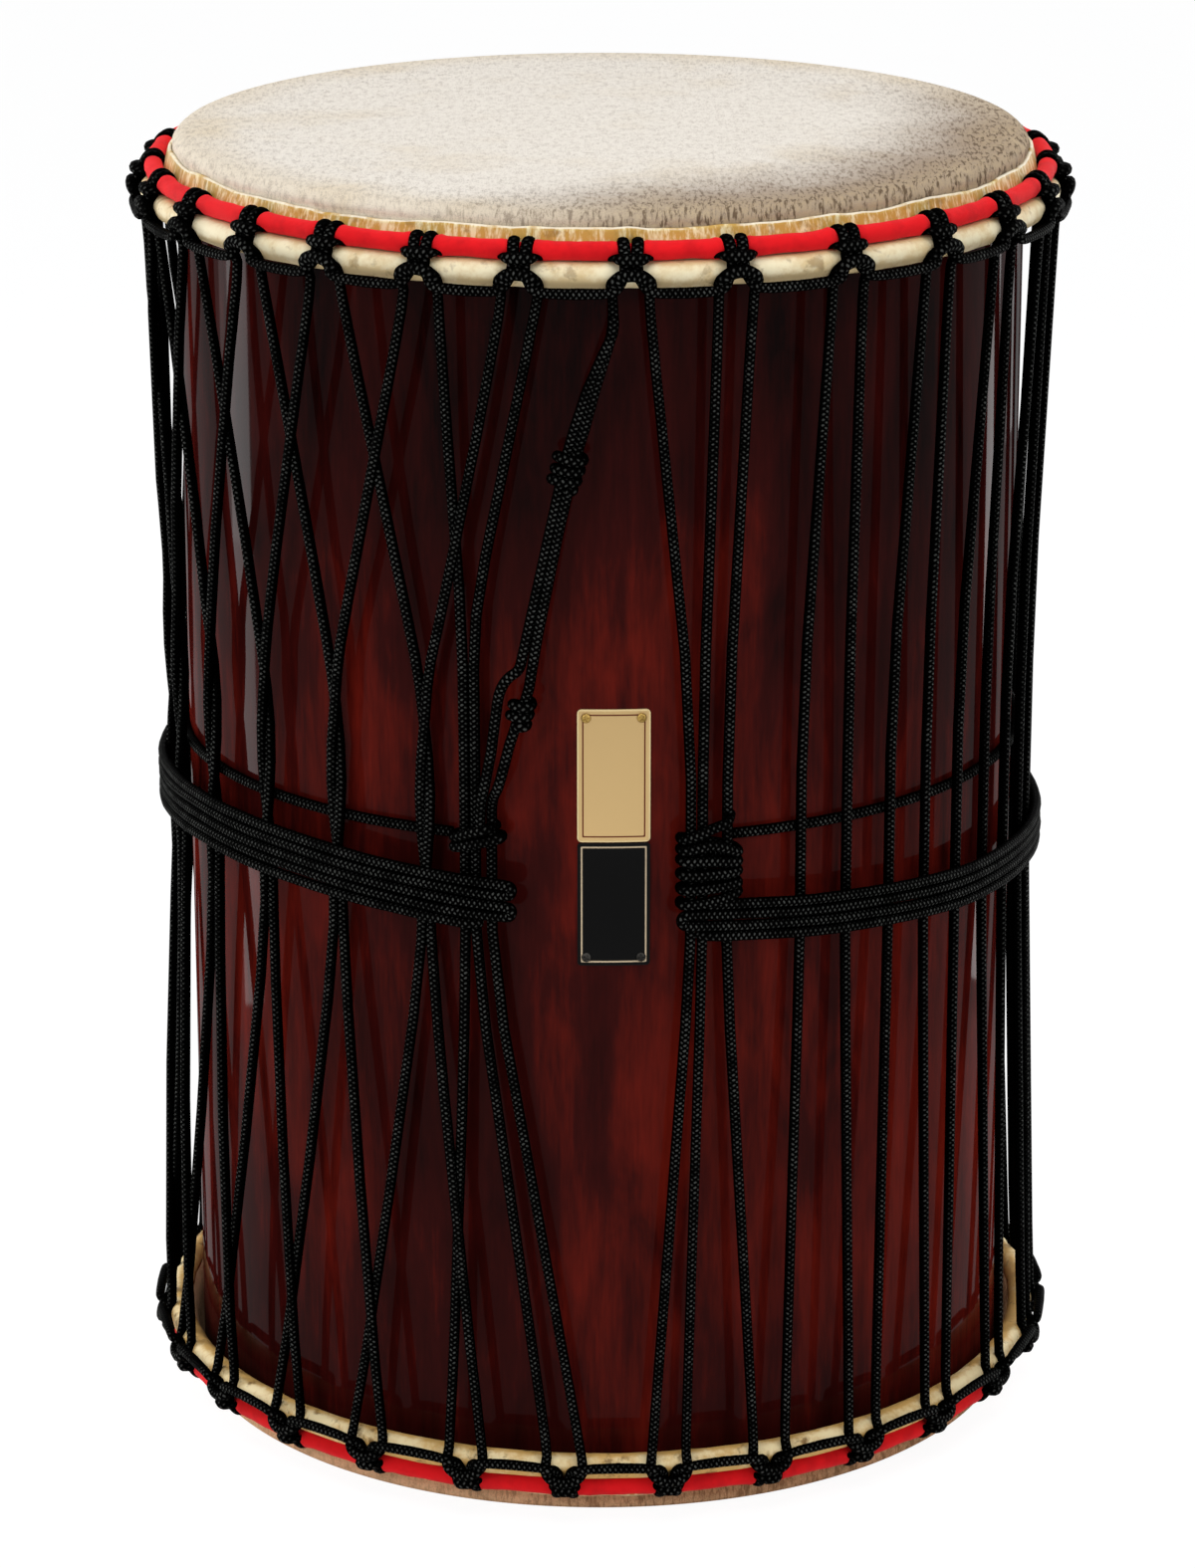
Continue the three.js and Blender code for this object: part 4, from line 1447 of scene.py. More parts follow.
@dataclass
class Lacing:
    """The long rope that zigzags between the cradles, in a lower and an upper piece."""

    paired_top: float = 385.0
    bundle_top: float = 430.0
    paired_foot: float = 268.0
    crossing_lift: float = 2.6
    crossing_reach: float = 60.0
    first_paired: int = 22
    last_paired: int = 3
    pair_lean: float = 1.0
    gathered_right: dict[int, float] = field(
        default_factory=lambda: {3: -17.2, 4: -15.8, 5: 11.3, 6: 16.0}
    )
    gathered_left: dict[int, float] = field(default_factory=lambda: {5: 12.8})
    left_bundle: tuple[int, int] = (3, 4)
    tail_angle: float = -13.7
    tail_height: float = 336.0
    lead: float = 6.0
    split_drop: float = 8.0
    twist_reach: float = 2.5
    twist_rise: float = 20.0
    twist_steps: int = 8
    blend_feet: tuple[float, float] = (0.345, 0.25)
    blend_depth: float = 45.0

    @property
    def pair_spread(self) -> float:
        """Degrees between the middle of a pair and each of its ropes."""
        return degrees_of(ROPE_RADIUS + 0.2, WAIST_RADIUS)

    def is_paired(self, k: int) -> bool:
        """Tell whether the ropes under hitch k run as a pair."""
        hitch = k % HITCH_COUNT
        return hitch >= self.first_paired or hitch <= self.last_paired

    def waist_angle(self, k: int, is_right: bool) -> float:
        """Return where a stretch passes the waist.

        A stretch leaves hitch k to the right, or hitch k + 1 to the left.

        Args:
            k: The stretch's number.
            is_right: Whether it leaves its top hitch to the right.

        Returns:
            Degrees round the drum.
        """
        turns, index = divmod(k, HITCH_COUNT)
        gathered = (self.gathered_right if is_right else self.gathered_left).get(index)
        if gathered is not None:
            return gathered + turns * FULL_TURN
        pair = k + 1 if is_right else k
        if self.is_paired(pair):
            aside = -self.pair_spread if is_right else self.pair_spread
            return hitch_angle(End.TOP, pair) - self.pair_lean + aside
        top = hitch_angle(End.TOP, k if is_right else k + 1)
        return (top + hitch_angle(End.BOTTOM, k)) / 2

    def radius_at(self, height: float) -> float:
        """Find how far from the axis a stretch runs.

        Args:
            height: Height above the floor.

        Returns:
            The radius.
        """
        is_above = height > self.paired_top
        end = End.TOP if is_above else End.BOTTOM
        start = self.paired_top if is_above else self.paired_foot
        foot = HITCH[end].foot
        share = (height - start) / (end.height(foot.d) - start)
        return mix(WAIST_RADIUS, foot.r, max(share, 0.0))

    def twisted(self, k: int, is_right: bool) -> list[Station]:
        """Return the stations of one rope of a pair, which winds once round the other.

        Args:
            k: The stretch's number.
            is_right: Whether it leaves its top hitch to the right.

        Returns:
            The stations between the waist's two heights, from the top.
        """
        pair = k + 1 if is_right else k
        middle = hitch_angle(End.TOP, pair) - self.pair_lean
        side = -1 if is_right else 1
        stations = []
        for i in range(self.twist_steps + 1):
            share = i / self.twist_steps
            turn = 2 * math.pi * share
            across = side * math.cos(turn) * self.twist_reach
            out = side * math.sin(turn) * self.twist_reach * 0.8
            height = mix(self.paired_top + self.twist_rise, self.paired_foot, share)
            angle = middle + degrees_of(across, WAIST_RADIUS)
            stations.append(Station(angle, self.radius_at(height) + out, height))
        return stations

    def stretch(self, k: int, is_right: bool) -> list[Station]:
        """Return the stations between the two hitches of one stretch.

        Args:
            k: The stretch's number.
            is_right: Whether it leaves its top hitch to the right.

        Returns:
            The stations, from the top to the foot.
        """
        side = 1 if is_right else -1
        top = hitch_angle(End.TOP, k if is_right else k + 1) + side * FOOT_ANGLE
        bottom = hitch_angle(End.BOTTOM, k) - side * FOOT_ANGLE
        waist = self.waist_angle(k, is_right)
        is_gathered = (k % HITCH_COUNT) in (self.gathered_right if is_right else self.gathered_left)
        is_pair = not is_gathered and self.is_paired(k + 1 if is_right else k)
        if is_pair:
            stations = self.twisted(k, is_right)
        else:
            heights = [self.paired_top, self.paired_foot]
            if is_right and k % HITCH_COUNT in self.left_bundle:
                heights.insert(0, self.bundle_top)
            stations = [Station(waist, self.radius_at(h), h) for h in heights]
        if not self.is_paired(k) and not self.is_paired(k + 1):
            return stations
        other_top = hitch_angle(End.TOP, k + 1 if is_right else k) - side * FOOT_ANGLE
        other_waist = self.waist_angle(k, not is_right)
        other_bottom = hitch_angle(End.BOTTOM, k) + side * FOOT_ANGLE
        lift = -self.crossing_lift if is_right else self.crossing_lift
        upper = (other_top - top) / (waist - top - (other_waist - other_top))
        lower = (other_waist - waist) / (bottom - waist - (other_bottom - other_waist))
        foot_height = DRUM_HEIGHT - HITCH[End.TOP].foot.d
        if 0 < upper < 1:
            height = mix(foot_height, self.paired_top, upper)
            angle = mix(top, waist, upper)
            radius = self.radius_at(height) + lift
            stations.insert(0, Station(angle, radius, height, self.crossing_reach))
        if 0 < lower < 1:
            height = mix(self.paired_foot, HITCH[End.BOTTOM].foot.d, lower)
            angle = mix(waist, bottom, lower)
            radius = self.radius_at(height) + lift
            stations.append(Station(angle, radius, height, self.crossing_reach))
        return stations

    def route(self) -> list[Station]:
        """Lead the whole rope: over a hitch of the top head, down, round one below and up.

        Returns:
            The stations.
        """
        foot = HITCH[End.TOP].foot
        start = HITCHES[End.TOP][FIRST_LACED] - FOOT_ANGLE
        stations = [Station(start, foot.r, DRUM_HEIGHT - foot.d - self.lead)]
        for k in range(FIRST_LACED, FIRST_LACED + HITCH_COUNT):
            stations += tied(End.TOP, hitch_angle(End.TOP, k), HITCH[End.TOP].arch(), k)
            stations += self.stretch(k, True)
            bottom_hitch = HITCH[End.BOTTOM].arch()
            stations += tied(End.BOTTOM, hitch_angle(End.BOTTOM, k), bottom_hitch, k)
            if k < FIRST_LACED + HITCH_COUNT - 1:
                stations += reversed(self.stretch(k, False))
        end = self.tail_angle + FULL_TURN
        stations.append(Station(end, WAIST_RADIUS, self.paired_foot))
        stations.append(Station(end, WAIST_RADIUS, self.tail_height))
        return stations

    def cut_at(self, angle: float) -> float:
        """Return the height, behind the waist wrap, where the two pieces meet."""
        return wrap_top(angle) - self.split_drop

    def parted(self, is_upper: bool) -> list[list[Station]]:
        """Cut the route behind the waist wrap and keep its upper or lower runs.

        Args:
            is_upper: Which side of the cut is kept.

        Returns:
            The runs, each with its cut ends.
        """
        runs: list[list[Station]] = [[]]
        stations = self.route()
        for before, after in zip(stations, stations[1:]):
            start = before.height - self.cut_at(before.angle)
            stop = after.height - self.cut_at(after.angle)
            if (start > 0) == is_upper:
                runs[-1].append(before)
            if (start > 0) != (stop > 0):
                share = start / (start - stop)
                cut = Station(
                    mix(before.angle, after.angle, share),
                    mix(before.radius, after.radius, share),
                    mix(before.height, after.height, share),
                )
                runs[-1].append(cut)
                if (stop > 0) != is_upper:
                    runs.append([])
        last = stations[-1]
        if (last.height > self.cut_at(last.angle)) == is_upper:
            runs[-1].append(last)
        return [run for run in runs if len(run) > 1]

    def build(self, finish: bpy.types.Material) -> None:
        """Build both pieces.

        Args:
            finish: The braid.
        """
        for end in End:
            rope = Rope(f"lacing_{end.value}")
            for run in self.parted(end is End.TOP):
                rope.add(run)
            piece = rope.build(finish, ["lacing_rope"])
            stop = Vector((0, 0, end.height(self.blend_depth) * METRES))
            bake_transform(piece)


@dataclass(frozen=True)
class TailKnot:
    """One knot of the tail: a few turns round its ropes, and a lobe on the first turn's left."""

    angle: float
    height: float
    turns: float
    wide: float
    deep: float
    lobe: float
    lean: float
    pitch: float = 4.9
    proud: float = 1.1
    steps: int = 12
    tuck_steps: int = 3

    def windings(self) -> list[Bend]:
        """Return the turns' corners, which start and end tucked in behind.

        Returns:
            Place, rope radius and reach of each corner.
        """
        radius = SHELL_RADIUS + TAIL_STAND_OFF
        middle = around(self.angle, radius, self.height)
        out = around(self.angle, 1.0, 0.0).normalized()
        along = Vector((math.tan(math.radians(self.lean)), 0.0, 1.0)).normalized()
        across = along.cross(out).normalized()
        count = round(self.turns * self.steps)
        corners = []
        for i in range(count + 1):
            lap = i / self.steps
            turn = 2 * math.pi * lap - math.pi / 2
            first = max(0.0, 1 - lap)
            left = max(0.0, -math.cos(turn))
            tuck = smooth(min(i, count - i), 0, self.tuck_steps)
            wide = (self.wide + self.lobe * first * left) * mix(0.6, 1.0, tuck)
            uneven = 0.3 * wander(lap * 3, self.height)
            deep = (self.deep + self.proud * first + uneven) * mix(0.3, 1.0, tuck)
            rise = self.pitch * (self.turns / 2 - lap) + self.lobe * left * first
            shift = across * (wide * math.cos(turn)) + out * (deep * math.sin(turn)) + along * rise
            corners.append((middle + shift * METRES, ROPE_RADIUS, Station.reach))
        return corners


@dataclass
class Tail:
    """The doubled end of the lacing, with its two knots."""

    upper: TailKnot = TailKnot(-4.0, 500.0, 3.4, 5.6, 4.7, 2.6, 17.0)
    lower: TailKnot = TailKnot(-9.7, 389.5, 2.6, 4.2, 4.0, 0.6, 14.0)
    strand_spread: float = 2.35
    left_end: float = -14.8
    right_end: float = -13.7
    end_height: float = 336.6
    top_lead: float = 6.0
    top_stand_off: tuple[float, float] = (2.2, -2.3)
    turn_reach: float = 12.0
    left_route: tuple[tuple[float, float, float], ...] = (
        (-9.35, 416.0, 0.0), (-9.75, 409.0, 1.2), (-11.0, 406.4, 2.2), (-12.1, 400.0, 2.2),
        (-12.6, 390.0, 1.2), (-13.0, 379.0, 0.4), (-13.6, 362.0, 0.0),
    )
    right_route: tuple[tuple[float, float, float], ...] = (
        (-8.2, 413.0, 0.6), (-8.5, 401.0, 1.0), (-9.5, 391.0, 0.4), (-10.6, 380.0, 0.2),
        (-11.5, 368.0, 0.4), (-12.4, 354.0, 0.4),
    )

    def strand(self, side: int, start: float) -> list[Station]:
        """Return one of the two strands.

        Args:
            side: -1 for the left one, which loops past the lower knot and ends in front, or 1.
            start: Angle at which both leave the cradle.

        Returns:
            The stations, from the top.
        """
        foot = HITCH[End.TOP].foot
        radius = SHELL_RADIUS + TAIL_STAND_OFF
        top = DRUM_HEIGHT - foot.d - self.top_lead
        first = foot.r + self.top_stand_off[0 if side < 0 else 1]
        stations = [Station(start, first - side * 0.4, top), Station(start, first, top - 8)]
        aside = degrees_of(side * self.strand_spread, radius)
        for share in (0.35, 0.6, 0.85):
            angle = mix(start, self.upper.angle, share) + aside * min(1.0, share * 1.4)
            height = mix(top, self.upper.height, share)
            stations.append(Station(angle, mix(foot.r, radius, share), height))
        stations.append(Station(self.upper.angle + aside * 0.7, radius, self.upper.height))
        for angle, height, out in self.left_route if side < 0 else self.right_route:
            stations.append(Station(angle, radius + out, height, self.turn_reach))
        end = self.left_end if side < 0 else self.right_end
        last = WAIST_RADIUS + (2 * ROPE_RADIUS if side < 0 else 0)
        stations.append(Station(end, last, self.end_height + 10))
        stations.append(Station(end, last, self.end_height - 4))
        return stations

    def build(self, finish: bpy.types.Material) -> None:
        """Build the tail.

        Args:
            finish: The braid.
        """
        start = HITCHES[End.TOP][FIRST_LACED] - FOOT_ANGLE
        rope = Rope("tail")
        for side in (-1, 1):
            rope.add(self.strand(side, start))
        for knot in (self.upper, self.lower):
            rope.add_points(knot.windings())
        piece = rope.build(finish, ["tail_rope"])
        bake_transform(piece)


@dataclass
class BundleKnot:
    """Turns round the ropes that stand side by side between two angles."""

    name: str
    node: str
    start: float
    stop: float
    laps: tuple[tuple[float, float, float, float], ...]
    clear: float = 2 * ROPE_RADIUS + 0.2

    @property
    def straight(self) -> float:
        """Half the length of a lap's front."""
        return math.radians((self.stop - self.start) / 2) * WAIST_RADIUS

    def corners(self) -> list[tuple[float, float, float]]:
        """Lay the laps; ten corners go round once.

        Returns:
            Each corner's place across, out and height.
        """
        straight, clear = self.straight, self.clear
        corner = clear * 0.77
        corners = []
        for i, (right, crest, left, slack) in enumerate(self.laps):
            following = self.laps[i + 1][0] if i + 1 < len(self.laps) else left - 2.0
            corners += [
                (straight + clear * 0.95, 0.5, right),
                (straight + corner, corner, right),
                (straight * 0.8, clear + slack, mix(right, crest, 0.5)),
                (0.0, clear + slack * 1.3, crest),
                (-straight * 0.8, clear + slack, mix(left, crest, 0.5)),
                (-straight - corner, corner, left),
                (-straight - clear * 0.95, -0.5, left),
                (-straight - corner, -corner, mix(left, following, 0.1)),
                (0.0, -clear, mix(left, following, 0.5)),
                (straight + corner, -corner, mix(left, following, 0.9)),
            ]
        return corners

    def build(self, finish: bpy.types.Material) -> None:
        """Build the knot, whose laps each run leftwards in front and back behind.

        Args:
            finish: The braid.
        """
        middle = (self.start + self.stop) / 2
        tucked = (self.straight + 2.0, -2.0, self.laps[0][0])
        rope = Rope(self.name)
        rope.add(
            [
                Station(middle + degrees_of(across, WAIST_RADIUS), WAIST_RADIUS + out, height)
                for across, out, height in (tucked, *self.corners()[2:-2])
            ]
        )
        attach(rope.build(finish, [self.node]), "drum_shell")


@dataclass
class WaistRopes:
    """The strand under the lacing and the wrap over it."""

    inner_height: float = 328.0
    inner_from: float = 17.2
    inner_to: float = 340.6
    inner_stand_off: float = 2.55
    inner_steps: int = 90
    right_end: float = 10.5
    right_tuck: float = 13.4
    left_end: float = 348.5
    left_tuck: float = 343.8
    begin: float = 190.0
    pitch: float = 5.05
    steps: int = 110
    tuck_depth: float = 4.0
    tuck_lead: float = 1.2

    @property
    def radius(self) -> float:
        """Radius of the wrap's middle line."""
        return WAIST_RADIUS + 2 * ROPE_RADIUS + 0.5

    def level(self, level: int, right: float, left: float) -> list[Station]:
        """Return one strand of the wrap, from its right end round the back to its left end.

        Args:
            level: The strand's number, from the top.
            right: Angle of the right end.
            left: Angle of the left end.

        Returns:
            The stations.
        """
        stations = []
        for i in range(self.steps + 1):
            angle = mix(right, left, i / self.steps)
            height = wrap_top(angle) - level * self.pitch + 0.5 * wander(angle / 9, level * 3.1)
            out = self.radius + 0.35 * wander(angle / 6, level * 2.3, 4.0)
            stations.append(Station(angle, out, height))
        under = self.radius - self.tuck_depth
        if right in (self.right_tuck, self.begin):
            stations.insert(0, Station(right - self.tuck_lead, under, stations[0].height))
        if left == self.left_tuck:
            stations.append(Station(left + self.tuck_lead, under, stations[-1].height))
        return stations

    def turn(self, level: int, end: float) -> list[Station]:
        """Return the bend that joins a strand to the next one down.

        Args:
            level: The upper strand's number.
            end: Angle of the bend.

        Returns:
            The stations, from the top.
        """
        middle = wrap_top(end) - (level + 0.5) * self.pitch
        side = 1 if end > FULL_TURN / 2 else -1
        reach = self.pitch / 2
        stations = []
        for turn in (45, 90, 135):
            out = side * math.sin(math.radians(turn)) * reach
            rise = math.cos(math.radians(turn)) * reach
            stations.append(Station(end + degrees_of(out, self.radius), self.radius, middle + rise))
        return stations

    def build(self, finish: bpy.types.Material) -> None:
        """Build the inner strand and the wrap.

        Args:
            finish: The braid.
        """
        inner = Rope("inner_strand")
        count, radius = self.inner_steps, SHELL_RADIUS + self.inner_stand_off
        angles = [mix(self.inner_from, self.inner_to, i / count) for i in range(count + 1)]
        inner.add([Station(angle, radius, self.inner_height) for angle in angles])
        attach(inner.build(finish, ["waist_inner_strand"]), "drum_shell")
        wrap = Rope("waist_wrap_rope")
        ends = [self.right_tuck, self.right_end, self.right_end, self.right_tuck]
        long: list[Station] = []
        for level, right in enumerate(ends):
            leftward = self.level(level, right, self.left_end)
            long.extend(leftward if level % 2 == 0 else reversed(leftward))
            if level < len(ends) - 1:
                long.extend(self.turn(level, self.left_end if level % 2 == 0 else self.right_end))
        wrap.add(long)
        wrap.add(self.level(len(ends), self.begin, self.left_tuck))
        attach(wrap.build(finish, ["waist_wrap"]), "drum_shell")


@dataclass
class Plate:
    """A small curved plate that is screwed to the shell, with nothing on its face."""

    name: str
    node: str
    width: float
    height: float
    corner: float
    foot: float
    angle: float = PLATE_ANGLE
    thickness: float = 0.8
    lift: float = 0.15
    rim_round: float = 0.25
    margin: float = 0.8
    lip: float = 0.2
    sunk: float = 0.12
    strips: int = 14

    @property
    def middle(self) -> float:
        """Height of the plate's middle."""
        return self.foot + self.height / 2

    def build(self, finish: bpy.types.Material, slot: str) -> None:
        """Build the plate: a rounded sheet with a raised rim, bent round the shell.

        Args:
            finish: The plate's finish.
            slot: Name of a material slot; not used.
        """
        mesh = bmesh.new()
        bmesh.ops.create_grid(mesh, x_segments=1, y_segments=1, size=0.5)
        bmesh.ops.scale(mesh, vec=(self.width, self.height, 1), verts=mesh.verts)
        bmesh.ops.bevel(
            mesh, geom=list(mesh.verts), offset=self.corner, offset_type="OFFSET", segments=5,
            profile=0.5, affect="VERTICES", material=-1,
        )
        lifted = bmesh.ops.extrude_face_region(mesh, geom=list(mesh.faces))
        top = [item for item in lifted["geom"] if isinstance(item, bmesh.types.BMFace)]
        verts = [item for item in lifted["geom"] if isinstance(item, bmesh.types.BMVert)]
        bmesh.ops.translate(mesh, vec=(0, 0, self.thickness), verts=verts)
        bmesh.ops.recalc_face_normals(mesh, faces=mesh.faces)
        rim = [edge for face in top for edge in face.edges]
        bmesh.ops.bevel(
            mesh, geom=rim, offset=self.rim_round, offset_type="OFFSET", segments=2, profile=0.5,
            affect="EDGES", material=-1,
        )
        face = max(mesh.faces, key=lambda f: f.calc_center_median().z * 1000 + f.calc_area())
        for wide, deep in ((self.margin, 0.0), (self.lip, self.sunk)):
            bmesh.ops.inset_region(
                mesh, faces=[face], thickness=wide, depth=-deep, use_even_offset=True
            )
        for i in range(1, self.strips):
            across = self.width * (i / self.strips - 0.5)
            geom = [*mesh.verts, *mesh.edges, *mesh.faces]
            bmesh.ops.bisect_plane(mesh, geom=geom, plane_co=(across, 0, 0), plane_no=(1, 0, 0))
        own = mesh.verts.layers.float_vector.new("plate")
        for vert in mesh.verts:
            x, y, z = vert.co
            vert[own] = (x, y, z)
            radius = SHELL_RADIUS + self.lift + z
            vert.co = around(self.angle + degrees_of(x, SHELL_RADIUS), radius, self.middle + y)
        bmesh.ops.recalc_face_normals(mesh, faces=mesh.faces)
        piece = as_piece(self.name, mesh)
        piece.data.set_sharp_from_angle(angle=math.radians(SHARP_ANGLE))
        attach(kept(piece, finish, [self.node]), "drum_shell")


@dataclass
class Screw:
    """A small cross-head screw."""

    name: str
    node: str
    across: float
    height: float
    turn: float
    plate_angle: float = PLATE_ANGLE
    head: float = 2.2
    rim: float = 0.2
    dome: float = 1.0
    dome_steps: int = 5
    shank: float = 1.0
    shank_length: float = 1.6
    sides: int = 28
    seat: float = 0.9
    slot_width: float = 0.7
    slot_length: float = 3.0
    slot_depth: float = 0.8

    def build(self, finish: bpy.types.Material, slot: str) -> None:
        """Build the screw's head with its crossed slot.

        Args:
            finish: The metal.
            slot: Name of a material slot; not used.
        """
        mesh = bmesh.new()
        profile = [
            (0.0, -self.shank_length), (self.shank, -self.shank_length), (self.shank, 0.0),
            (self.head, 0.0), (self.head, self.rim),
        ]
        for i in range(1, self.dome_steps + 1):
            turn = math.pi / 2 * i / self.dome_steps
            rise = self.rim + (self.dome - self.rim) * math.sin(turn)
            profile.append((self.head * math.cos(turn), rise))
        verts = [mesh.verts.new((x, 0, z)) for x, z in profile]
        edges = [mesh.edges.new(pair) for pair in zip(verts, verts[1:])]
        bmesh.ops.spin(
            mesh, geom=[*verts, *edges], cent=(0, 0, 0), axis=(0, 0, 1), angle=2 * math.pi,
            steps=self.sides, use_merge=True, use_duplicate=False,
        )
        bmesh.ops.remove_doubles(mesh, verts=mesh.verts, dist=1e-4)
        bmesh.ops.recalc_face_normals(mesh, faces=mesh.faces)
        piece = as_piece(self.name, mesh)
        slot_size = (self.slot_width, self.slot_length)
        for wide, long in (slot_size, slot_size[::-1]):
            blade = bmesh.new()
            bmesh.ops.create_cube(blade, size=1.0)
            bmesh.ops.scale(blade, vec=(wide, long, 1.0), verts=blade.verts)
            middle = 0.5 + self.dome - self.slot_depth
            bmesh.ops.translate(blade, vec=(0, 0, middle), verts=blade.verts)
            cutter = as_piece("blade", blade, False)
            cut = piece.modifiers.new("slot", "BOOLEAN")
            cut.operation, cut.solver, cut.object = "DIFFERENCE", "EXACT", cutter
            graph = bpy.context.evaluated_depsgraph_get()
            data = bpy.data.meshes.new_from_object(piece.evaluated_get(graph))
            piece.modifiers.clear()
            piece.data = data
            bpy.data.objects.remove(cutter)
        angle = self.plate_angle + degrees_of(self.across, SHELL_RADIUS)
        spin = math.radians(self.turn)
        rightward = Vector((math.cos(math.radians(angle)), math.sin(math.radians(angle)), 0))
        for vert in piece.data.vertices:
            x, y, z = vert.co
            aside = x * math.cos(spin) - y * math.sin(spin)
            rise = x * math.sin(spin) + y * math.cos(spin)
            centre = around(angle, SHELL_RADIUS + self.seat + z, self.height + rise)
            vert.co = centre + rightward * (aside * METRES)
        piece.data.set_sharp_from_angle(angle=math.radians(SHARP_ANGLE))
        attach(kept(piece, finish, [self.node]), "drum_shell")


@dataclass
class Studio:
    """Floor, lamps and camera."""

    camera_place: tuple[float, float, float] = (-0.0014, -2.430, 1.0734)
    camera_pitch: float = 17.88
    lens: float = 120.94
    sensor_height: float = 36.0
    floor_size: float = 14.0
    floor_glow: float = 1.1
    floor_share: float = 0.84
    room_light: float = 0.4

    def lamp(
        self,
        name: str,
        place: Sequence[float],
        aim: Sequence[float],
        size: tuple[float, float],
        watts: float,
    ) -> None:
        """Hang a soft rectangular lamp.

        Args:
            name: The lamp's name.
            place: Where it hangs, in metres.
            aim: What it points at.
            size: Its width and height.
            watts: Its power.
        """
        data = bpy.data.lights.new(name, "AREA")
        data.shape, data.size, data.size_y, data.energy = "RECTANGLE", size[0], size[1], watts
        lamp = bpy.data.objects.new(name, data)
        bpy.context.scene.collection.objects.link(lamp)
        lamp.visible_camera = False
        lamp.location = place
        lamp.rotation_euler = (Vector(aim) - Vector(place)).to_track_quat("-Z", "Y").to_euler()

    def white_floor(self) -> None:
        """Lay the pale floor, which keeps the drum's shadow."""
        mesh = bmesh.new()
        bmesh.ops.create_grid(mesh, x_segments=1, y_segments=1, size=self.floor_size)
        floor = as_piece("floor", mesh, False)
        b = Bench("floor_paper")
        seen = b.node("ShaderNodeLightPath", None, None, "Is Camera Ray")
        path = seen.socket.node
        for kind in ("Is Glossy Ray", "Is Transmission Ray"):
            ray = Reading(b, path.outputs[kind])
            seen = b.node("ShaderNodeMath", {"operation": "MAXIMUM"}, {0: seen, 1: ray})
        paper = b.grain(b.place(), 40.0, 2.0, 0.5)
        tone = b.blend(paper * 0.04, (0.9, 0.9, 0.9, 1), (0.8, 0.8, 0.8, 1))
        b.finished(Base_Color=tone, Roughness=0.9)
        white = {"Color": (1, 1, 1, 1), "Strength": self.floor_glow}
        glow = b.node("ShaderNodeEmission", None, white)
        lit = Reading(b, b.shader.outputs[0])
        layers = {0: seen * self.floor_share, 1: lit, 2: glow}
        mixed = b.node("ShaderNodeMixShader", None, layers)
        output = next(n for n in b.tree.nodes if n.type == "OUTPUT_MATERIAL")
        b.tree.links.new(mixed.socket, output.inputs["Surface"])
        floor.data.materials.append(b.material)

    def white_world(self) -> None:
        """Light the room plainly and show white behind the floor."""
        world = bpy.data.worlds.new("room")
        bpy.context.scene.world = world
        world.use_nodes = True
        tree = world.node_tree
        tree.nodes.clear()
        path = tree.nodes.new("ShaderNodeLightPath")
        both = tree.nodes.new("ShaderNodeMixShader")
        for socket, colour, strength in (
            (1, (0.95, 0.96, 1.0, 1), self.room_light), (2, (1, 1, 1, 1), 1.0)
        ):
            plain = tree.nodes.new("ShaderNodeBackground")
            plain.inputs["Color"].default_value = colour
            plain.inputs["Strength"].default_value = strength
            tree.links.new(plain.outputs[0], both.inputs[socket])
        output = tree.nodes.new("ShaderNodeOutputWorld")
        seen = path.outputs["Is Camera Ray"]
        for kind in ("Is Glossy Ray", "Is Transmission Ray"):
            either = tree.nodes.new("ShaderNodeMath")
            either.operation = "MAXIMUM"
            tree.links.new(seen, either.inputs[0])
            tree.links.new(path.outputs[kind], either.inputs[1])
            seen = either.outputs[0]
        tree.links.new(seen, both.inputs[0])
        tree.links.new(both.outputs[0], output.inputs["Surface"])

    def build(self) -> None:
        """Set up the camera, the floor and the lamps."""
        data = bpy.data.cameras.new("camera")
        data.sensor_fit = "VERTICAL"
        data.sensor_height, data.lens = self.sensor_height, self.lens
        camera = bpy.data.objects.new("camera", data)
        bpy.context.scene.collection.objects.link(camera)
        camera.location = self.camera_place
        camera.rotation_euler = (math.radians(90 - self.camera_pitch), 0, 0)
        bpy.context.scene.camera = camera
        bpy.context.scene.view_settings.view_transform = "Standard"
        self.white_floor()
        self.white_world()
        self.lamp("top_box", (0.1, -0.4, 2.3), (0, 0, 0.5), (1.6, 1.4), 20)
        self.lamp("left_box", (-1.55, 0.62, 0.75), (0, 0, 0.35), (0.45, 1.5), 5)
        self.lamp("right_box", (1.05, 1.55, 0.75), (0, 0, 0.35), (0.35, 1.5), 4)
        self.lamp("left_strip", (-0.62, 0.10, 0.38), (-0.17, -0.11, 0.38), (0.1, 0.72), 1.5)
        self.lamp("right_strip", (0.56, 0.28, 0.38), (0.19, -0.08, 0.38), (0.08, 0.72), 1.3)
        self.lamp("front_left", (-1.5, -2.2, 1.5), (0, 0, 0.35), (1.0, 1.3), 16)
        self.lamp("front_right", (1.6, -2.0, 1.3), (0, 0, 0.35), (1.0, 1.3), 11)


